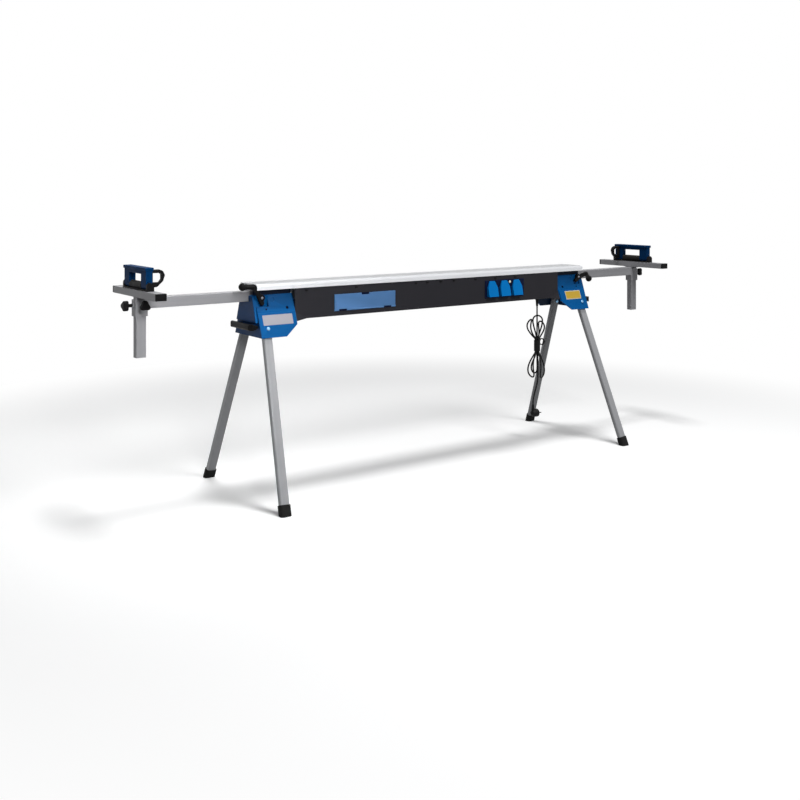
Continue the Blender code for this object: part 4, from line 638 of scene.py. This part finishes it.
def hang_cord():
    """The whole lead as one smooth round cable, from the relief under the panel to the plug."""
    data = bpy.data.curves.new("mains_cord", "CURVE")
    data.dimensions = "3D"
    data.bevel_depth = CORD_DIAMETER / 2
    data.bevel_resolution = CORD_ROUND
    data.use_fill_caps = True
    data.resolution_u = CORD_ALONG
    spline = data.splines.new("BEZIER")
    spline.bezier_points.add(len(CORD_ROUTE_MM) - 1)
    for point, spot in zip(spline.bezier_points, CORD_ROUTE_MM):
        point.co = Vector(spot) / 1000
        point.handle_left_type = point.handle_right_type = "AUTO"
    obj = bpy.data.objects.new("mains_cord", data)
    SCENE.collection.objects.link(obj)
    data.materials.append(FINISHES["cord"].material)
    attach(obj, "stand")
    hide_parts("cord_lead", "cord_hank", "cord_tail")


hang_cord()


# ---------------------------------------------------------------- shapes for the trim

TRIM_ANGLE = 30.0
SAME_POINT = 1e-7
CORNER_STEPS = 5


def piece(name, bm, finish, body, bevel=0.0, segments=2):
    """A piece of the scene alone: its mesh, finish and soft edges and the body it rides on."""
    bmesh.ops.remove_doubles(bm, verts=bm.verts, dist=SAME_POINT)
    bmesh.ops.recalc_face_normals(bm, faces=bm.faces)
    obj = mesh_object(name, bm)
    dress(obj, FINISHES[finish], bevel, segments, TRIM_ANGLE)
    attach(obj, body)
    return obj


def rounded(x_pair, z_pair, radius):
    """The outline of a rectangle with round corners, anticlockwise as (x, z)."""
    spots = []
    for cx, cz, start in (
        (x_pair[1] - radius, z_pair[1] - radius, 0), (x_pair[0] + radius, z_pair[1] - radius, 90),
        (x_pair[0] + radius, z_pair[0] + radius, 180), (x_pair[1] - radius, z_pair[0] + radius, 270),
    ):
        for step in range(CORNER_STEPS + 1):
            turn = math.radians(start + 90 * step / CORNER_STEPS)
            spots.append((cx + radius * math.cos(turn), cz + radius * math.sin(turn)))
    return spots


def mirrored(half, middle_at=0.0):
    """The outline whose right half goes from the bottom to the top as (out, up)."""
    return [(middle_at + out, up) for out, up in half] + [(middle_at - out, up) for out, up in reversed(half)]


def hoop(bm, first, second):
    """Joins two rings of as many points by faces all round."""
    for k, vert in enumerate(first):
        follow = (k + 1) % len(first)
        bm.faces.new((vert, first[follow], second[follow], second[k]))


def close(bm, low, high):
    """Closes two rings of as many points into a solid."""
    bm.faces.new(low)
    bm.faces.new(list(reversed(high)))
    hoop(bm, high, low)


def slab(bm, outline, place_low, place_high):
    """Closes an outline into a thin solid between two functions that place its points."""
    low = [bm.verts.new(place_low(*spot)) for spot in outline]
    high = [bm.verts.new(place_high(*spot)) for spot in outline]
    close(bm, low, high)


def lathe(bm, profile, centre, axis, steps=24, ring=False):
    """Turns a profile of (along, radius) round an axis through the centre. Its ends close, or meet in a ring."""
    turn = Vector((0, 0, 1)).rotation_difference(Vector(axis)).to_matrix()
    ways = [(math.cos(2 * math.pi * k / steps), math.sin(2 * math.pi * k / steps)) for k in range(steps)]
    rings = [
        [bm.verts.new(Vector(centre) + turn @ Vector((radius * x, radius * y, along))) for x, y in ways]
        for along, radius in profile
    ]
    for first, second in zip(rings, rings[1:]):
        hoop(bm, first, second)
    if ring:
        hoop(bm, rings[-1], rings[0])
    else:
        bm.faces.new(list(reversed(rings[0])))
        bm.faces.new(rings[-1])


def middle(solid):
    low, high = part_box(solid)
    return (Vector(low) + Vector(high)) / 2


# ---------------------------------------------------------------- small trim

# Plates: name, ends along the stand, heights, finish, and how far off the slope the back and the face lie
PLATES = (
    ("plate_left_0", (-0.895, -0.760), (0.688, 0.727), "plate_silver", 0.00005, 0.00065),
    ("plate_right_0", (0.778, 0.880), (0.690, 0.730), "plate_border", 0.00005, 0.00065),
    ("plate_right_1", (0.7815, 0.8765), (0.6935, 0.7265), "plate_yellow", 0.00065, 0.00085),
)
PLATE_CORNER = 0.0025
PLATE_EDGE = 0.00015


def slope_y(z, out):
    """Where the front of a housing lies at a height, moved out by a little."""
    return -(SLOPE_FACE + out * SLOPE_STRETCH + (LEG_BOLT[2] - z) * SLOPE)


def add_plates():
    """The bare plates on the housings' sloping fronts. The right one has a border round its field."""
    for name, xs, zs, finish, back, face in PLATES:
        bm = bmesh.new()
        slab(
            bm, rounded([x + SHIFT_X for x in xs], zs, PLATE_CORNER),
            lambda x, z: (x, slope_y(z, back), z),
            lambda x, z: (x, slope_y(z, face), z),
        )
        piece(name, bm, finish, "stand", PLATE_EDGE)


CLIP_XS = (-0.6859, -0.4421, -0.127, -0.0626, 0.0123, 0.0887, 0.2159, 0.337, 0.4617)
CLIP_HALF = 0.0055
CLIP_EDGE = 0.0004
CLIP_PROFILE = (  # distance across from the middle, and height
    (0.0744, 0.8110), (0.0764, 0.8116), (0.0780, 0.8144), (0.0780, 0.8185), (0.0766, 0.8205), (0.0744, 0.8205),
)


def add_clips():
    """The small clips that hold the cover's upper edge under the rail."""
    bm = bmesh.new()
    for x in CLIP_XS:
        left, right = x + SHIFT_X - CLIP_HALF, x + SHIFT_X + CLIP_HALF
        slab(bm, CLIP_PROFILE, lambda out, z: (left, -out, z), lambda out, z: (right, -out, z))
    piece("cover_clips", bm, "clip", "stand", CLIP_EDGE)


# Turned heads as (along, radius)
SCREW_HEAD = (
    (0.0, 0.0056), (0.0007, 0.0056), (0.0012, 0.0049), (0.0022, 0.0042), (0.0029, 0.0028), (0.0032, 0.0010),
)
SCREW_SINK = 0.0004
AXLE_CAP = ((-0.0002, 0.0062), (0.0004, 0.0062), (0.0008, 0.0056), (0.0009, 0.0030))
AXLE_CAP_SIDES = 20


def add_fixings():
    """The levers' screw heads and the rollers' axle caps, each turned with a domed face."""
    for side_name, side in SIDES:
        bm = bmesh.new()
        place = (side * LEVER_HINGE[0] + SHIFT_X, LEVER_FACES[0] + SCREW_SINK, LEVER_HINGE[1])
        lathe(bm, SCREW_HEAD, place, (0, -1, 0))
        piece(f"lever_screw_{side_name}", bm, "screw", f"lever_body_{side_name}")
        low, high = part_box(f"roller_{side_name}")
        at = middle(f"roller_{side_name}")
        for (end, way), y in zip(ROWS, (low[1], high[1])):
            bm = bmesh.new()
            lathe(bm, AXLE_CAP, (at.x, y, at.z), (0, way, 0), AXLE_CAP_SIDES)
            piece(f"axle_cap_{end}_{side_name}", bm, "steel", f"roller_body_{side_name}")


FLAP_HALF = 0.0288
FLAP_SHIFT = 0.0056  # to the left of its solid's middle
FLAP_SHOULDER_SHARE = 0.58
FLAP_TOP_HALF = 0.0145
FLAP_TOP_THICKNESS = 0.0045
FLAP_WEDGE = 0.0150  # how much further out its foot lies than its top
FLAP_EDGE = 0.0016
FLAP_SEGMENTS = 3
LIP_HALF = 0.01584
LIP_ZS = (0.0016, 0.0048)
LIP_SINK, LIP_PROUD = 0.0002, 0.0003
LIP_EDGE = 0.0002


def add_flaps():
    """The three spring flaps as moulded shells: upright sides, cut shoulders, a wedge front and a finger lip."""
    for number in (1, 2, 3):
        low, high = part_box(f"socket_flap_{number}")
        x = (low[0] + high[0]) / 2 - FLAP_SHIFT
        back, bottom, top = high[1], low[2], high[2]
        height = top - bottom
        outline = mirrored((
            (FLAP_HALF - FLAP_EDGE, bottom), (FLAP_HALF, bottom + FLAP_EDGE),
            (FLAP_HALF, bottom + FLAP_SHOULDER_SHARE * height),
            (FLAP_TOP_HALF + FLAP_EDGE, top - FLAP_EDGE), (FLAP_TOP_HALF, top),
        ), x)
        lip = mirrored([(LIP_HALF, bottom + z) for z in LIP_ZS], x)

        def front(at, z, inset=0.0):
            return (at, back - FLAP_TOP_THICKNESS - FLAP_WEDGE * (top - z) / height + inset, z)

        bm = bmesh.new()
        slab(bm, outline, lambda at, z: (at, back, z), front)
        shell = piece(
            f"flap_shell_{number}", bm, "flap", f"flap_{number}", FLAP_EDGE / 2, FLAP_SEGMENTS,
        )
        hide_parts(f"socket_flap_{number}")
        bm = bmesh.new()
        slab(bm, lip, lambda at, z: front(at, z, LIP_SINK), lambda at, z: front(at, z, -LIP_PROUD))
        piece(f"flap_lip_{number}", bm, "flap", f"flap_{number}", LIP_EDGE)


LEVER_HINGE = (0.888, 0.795)
LEVER_FACES = (-0.0718, -0.0578)
LEVER_RAISED_DEG = {"left": 40.0, "right": 0.0}
# The crank's middle line from the hinge: out, up, nearer the arm, and its radius there
CRANK_WAY = (
    (-0.0156, -0.0156, 0.0, 0.0098), (0.0285, 0.0060, 0.0, 0.0108), (0.04902, 0.01032, 0.0, 0.0112),
    (0.0570, 0.0120, 0.0, 0.0115), (0.07185, 0.000075, 0.0048, 0.0104), (0.08175, -0.007875, 0.0096, 0.0100),
    (0.0900, -0.0145, 0.0120, 0.0158),
)
CRANK_NECK = 0.0100  # to which each stretch tapers
CRANK_SIDES, BALL_RINGS = 24, 14
HUB_RADIUS, HUB_SIDES = 0.0136, 36
# The crank's front stays behind the rail's lip up to the first reach, and is free of it from the second
CRANK_FRONT, CRANK_FREED = -0.0711, 0.03
CRANK_REACHES = (0.050, 0.060)
CRANK_VOXEL = 0.0011
CRANK_SMOOTHING, CRANK_SMOOTHINGS = 0.5, 6


def crank_mesh(side, lift, hinge):
    """The crank's overlapping cones and balls, and the hub on its hinge."""
    spots = []
    for out, up, nearer, _ in CRANK_WAY:
        along = out * math.cos(lift) - up * math.sin(lift)
        high = out * math.sin(lift) + up * math.cos(lift)
        spots.append(hinge + Vector((side * along, nearer, high)))
    radii = [spot[-1] for spot in CRANK_WAY]
    bm = bmesh.new()
    for first, second, radius in zip(spots, spots[1:], radii):
        run = second - first
        bmesh.ops.create_cone(
            bm, cap_ends=True, segments=CRANK_SIDES, radius1=radius, radius2=CRANK_NECK, depth=run.length,
            matrix=Matrix.Translation((first + second) / 2) @ run.to_track_quat("Z", "Y").to_matrix().to_4x4(),
        )
    for spot, radius in zip(spots, radii):
        bmesh.ops.create_uvsphere(
            bm, u_segments=CRANK_SIDES, v_segments=BALL_RINGS, radius=radius, matrix=Matrix.Translation(spot),
        )
    bmesh.ops.create_cone(
        bm, cap_ends=True, segments=HUB_SIDES, radius1=HUB_RADIUS, radius2=HUB_RADIUS,
        depth=LEVER_FACES[1] - LEVER_FACES[0],
        matrix=Matrix.Translation(hinge) @ Matrix.Rotation(math.radians(90), 4, "X"),
    )
    near, far = CRANK_REACHES
    for vert in bm.verts:
        reach = math.hypot(vert.co.x - hinge.x, vert.co.z - hinge.z)
        freed = min(max((reach - near) / (far - near), 0.0), 1.0) * CRANK_FREED
        vert.co.y = max(vert.co.y, CRANK_FRONT - freed)
    return bm


def add_levers():
    """The clamp levers as moulded cranks: a hub on the hinge, a thick shoulder and a ball at the end."""
    for side_name, side in SIDES:
        hinge = Vector((side * LEVER_HINGE[0] + SHIFT_X, sum(LEVER_FACES) / 2, LEVER_HINGE[1]))
        lift = math.radians(LEVER_RAISED_DEG[side_name])
        crank = mesh_object(f"crank_{side_name}", crank_mesh(side, lift, hinge))
        crank.data.materials.append(FINISHES["black"].material)
        melt = crank.modifiers.new("one skin", "REMESH")
        melt.mode = "VOXEL"
        melt.voxel_size = CRANK_VOXEL
        melt.use_smooth_shade = True
        ease = crank.modifiers.new("eased", "SMOOTH")
        ease.factor = CRANK_SMOOTHING
        ease.iterations = CRANK_SMOOTHINGS
        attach(crank, f"lever_body_{side_name}")
        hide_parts(f"clamp_lever_{side_name}")


NOSE_XS = (0.900, 0.9235)
NOSE_HALF = ((0.085, 0.6985), (0.050, 0.8035), (0.0212, 0.8035), (0.0212, 0.7778))  # with the arm's way
NOSE_EDGE = 0.0016
NOSE_SEGMENTS = 3


def add_noses():
    """The block round the arm on each housing's outer end."""
    for side_name, side in SIDES:
        near, far = (side * x + SHIFT_X for x in NOSE_XS)
        bm = bmesh.new()
        slab(bm, mirrored(NOSE_HALF), lambda y, z: (near, y, z), lambda y, z: (far, y, z))
        piece(f"housing_nose_{side_name}", bm, "housing", "stand", NOSE_EDGE, NOSE_SEGMENTS)


# The flares' two ends: distance along the stand, and corners as (across, height)
FLARE_FAR = (0.6857, ((0.0735, 0.7386), (0.0743, 0.7000), (0.0700, 0.7000)))
FLARE_NEAR = (0.7397, ((0.0735, 0.7386), (0.0904, 0.6940), (0.0700, 0.6940)))
FLARE_EDGE = 0.0003


def add_flares():
    """Where the cover's foot widens to meet the sloping housings."""
    for side_name, side in SIDES:
        bm = bmesh.new()
        for _, way in ROWS:
            close(bm, *(
                [bm.verts.new((side * x + SHIFT_X, way * y, z)) for y, z in corners]
                for x, corners in (FLARE_FAR, FLARE_NEAR)
            ))
        bmesh.ops.triangulate(bm, faces=bm.faces)
        piece(f"cover_flare_{side_name}", bm, "panel", "stand", FLARE_EDGE)


PAD_INSET = 0.0020
PAD_UNDER = 0.0028  # its underside over the base's
PAD_GAP = 0.0004  # from its top to the stop
PAD_EDGE = 0.0006


def add_rest_pads():
    """The black pad between each rest's base and its stop, with rounded corners."""
    for side_name, _ in SIDES:
        low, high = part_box(f"rest_base_{side_name}")
        xs, ys = ((low[k] + PAD_INSET, high[k] - PAD_INSET) for k in (0, 1))
        under = low[2] + PAD_UNDER
        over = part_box(f"work_stop_{side_name}")[0][2] - PAD_GAP
        bm = bmesh.new()
        slab(bm, rounded(xs, ys, PAD_INSET), lambda x, y: (x, y, under), lambda x, y: (x, y, over))
        piece(f"rest_pad_{side_name}", bm, "black", f"post_body_{side_name}", PAD_EDGE)


LENS_RADIUS = 0.0062
LENS_RISE = 0.0052
LENS_SINK = 0.0006
LENS_TURNS_DEG = (0, 15, 30, 45, 60, 75, 88)  # the last leaves a small flat at the top
LENS_SIDES = 32
BEZEL = ((0.0, 0.0064), (0.0016, 0.0064), (0.0021, 0.0070), (0.0014, 0.0080), (0.0, 0.0082))
BEZEL_SIDES = 28


def add_lamp():
    """The pilot lamp's domed lens and the thin ring round it."""
    at = middle("pilot_lamp")
    seat, out = (at.x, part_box("pilot_lamp")[1][1], at.z), (0, -1, 0)
    turns = [math.radians(turn) for turn in LENS_TURNS_DEG]
    dome = [(LENS_RISE * math.sin(turn), LENS_RADIUS * math.cos(turn)) for turn in turns]
    bm = bmesh.new()
    lathe(bm, [(-LENS_SINK, LENS_RADIUS)] + dome, seat, out, LENS_SIDES)
    lens = piece("lamp_lens", bm, "lamp", "stand")
    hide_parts("pilot_lamp")
    bm = bmesh.new()
    lathe(bm, BEZEL, seat, out, BEZEL_SIDES, ring=True)
    piece("lamp_bezel", bm, "black", "stand")


WELD_DROP = 0.0265  # from the post's top
WELD_HALVES = (0.0201, 0.0151)
WELD_RADIUS, WELD_ROUND = 0.0013, 2
WELD_STEP = 0.0022
WELD_WOBBLE, WELD_SWELL = 0.00025, (0.85, 1.15)
WELD_SEED = 3


def bead(name, spots):
    """A closed weld bead through the given points, slightly uneven."""
    draw = random.Random(WELD_SEED)
    data = bpy.data.curves.new(name, "CURVE")
    data.dimensions = "3D"
    data.bevel_depth = WELD_RADIUS
    data.bevel_resolution = WELD_ROUND
    spline = data.splines.new("POLY")
    steps = []
    for first, second in zip(spots, spots[1:] + spots[:1]):
        count = max(1, round((second - first).length / WELD_STEP))
        steps += [first.lerp(second, k / count) for k in range(count)]
    spline.points.add(len(steps) - 1)
    for point, spot in zip(spline.points, steps):
        wobble = Vector([draw.uniform(-WELD_WOBBLE, WELD_WOBBLE) for _ in range(3)])
        point.co = (spot + wobble).to_4d()
        point.radius = draw.uniform(*WELD_SWELL)
    spline.use_cyclic_u = True
    obj = bpy.data.objects.new(name, data)
    SCENE.collection.objects.link(obj)
    data.materials.append(FINISHES["post"].material)
    return obj


def add_welds():
    """The beads where each post meets its T-bar."""
    half_x, half_y = WELD_HALVES
    for side_name, _ in SIDES:
        low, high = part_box(f"support_post_{side_name}")
        x, z = (low[0] + high[0]) / 2, high[2] - WELD_DROP
        weld = bead(f"post_weld_{side_name}", [
            Vector((x + way_x * half_x, way_y * half_y, z)) for way_x, way_y in ((-1, -1), (1, -1), (1, 1), (-1, 1))
        ])
        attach(weld, f"post_body_{side_name}")


add_plates()
add_clips()
add_fixings()
add_flaps()
add_levers()
add_noses()
add_flares()
add_rest_pads()
add_lamp()
add_welds()
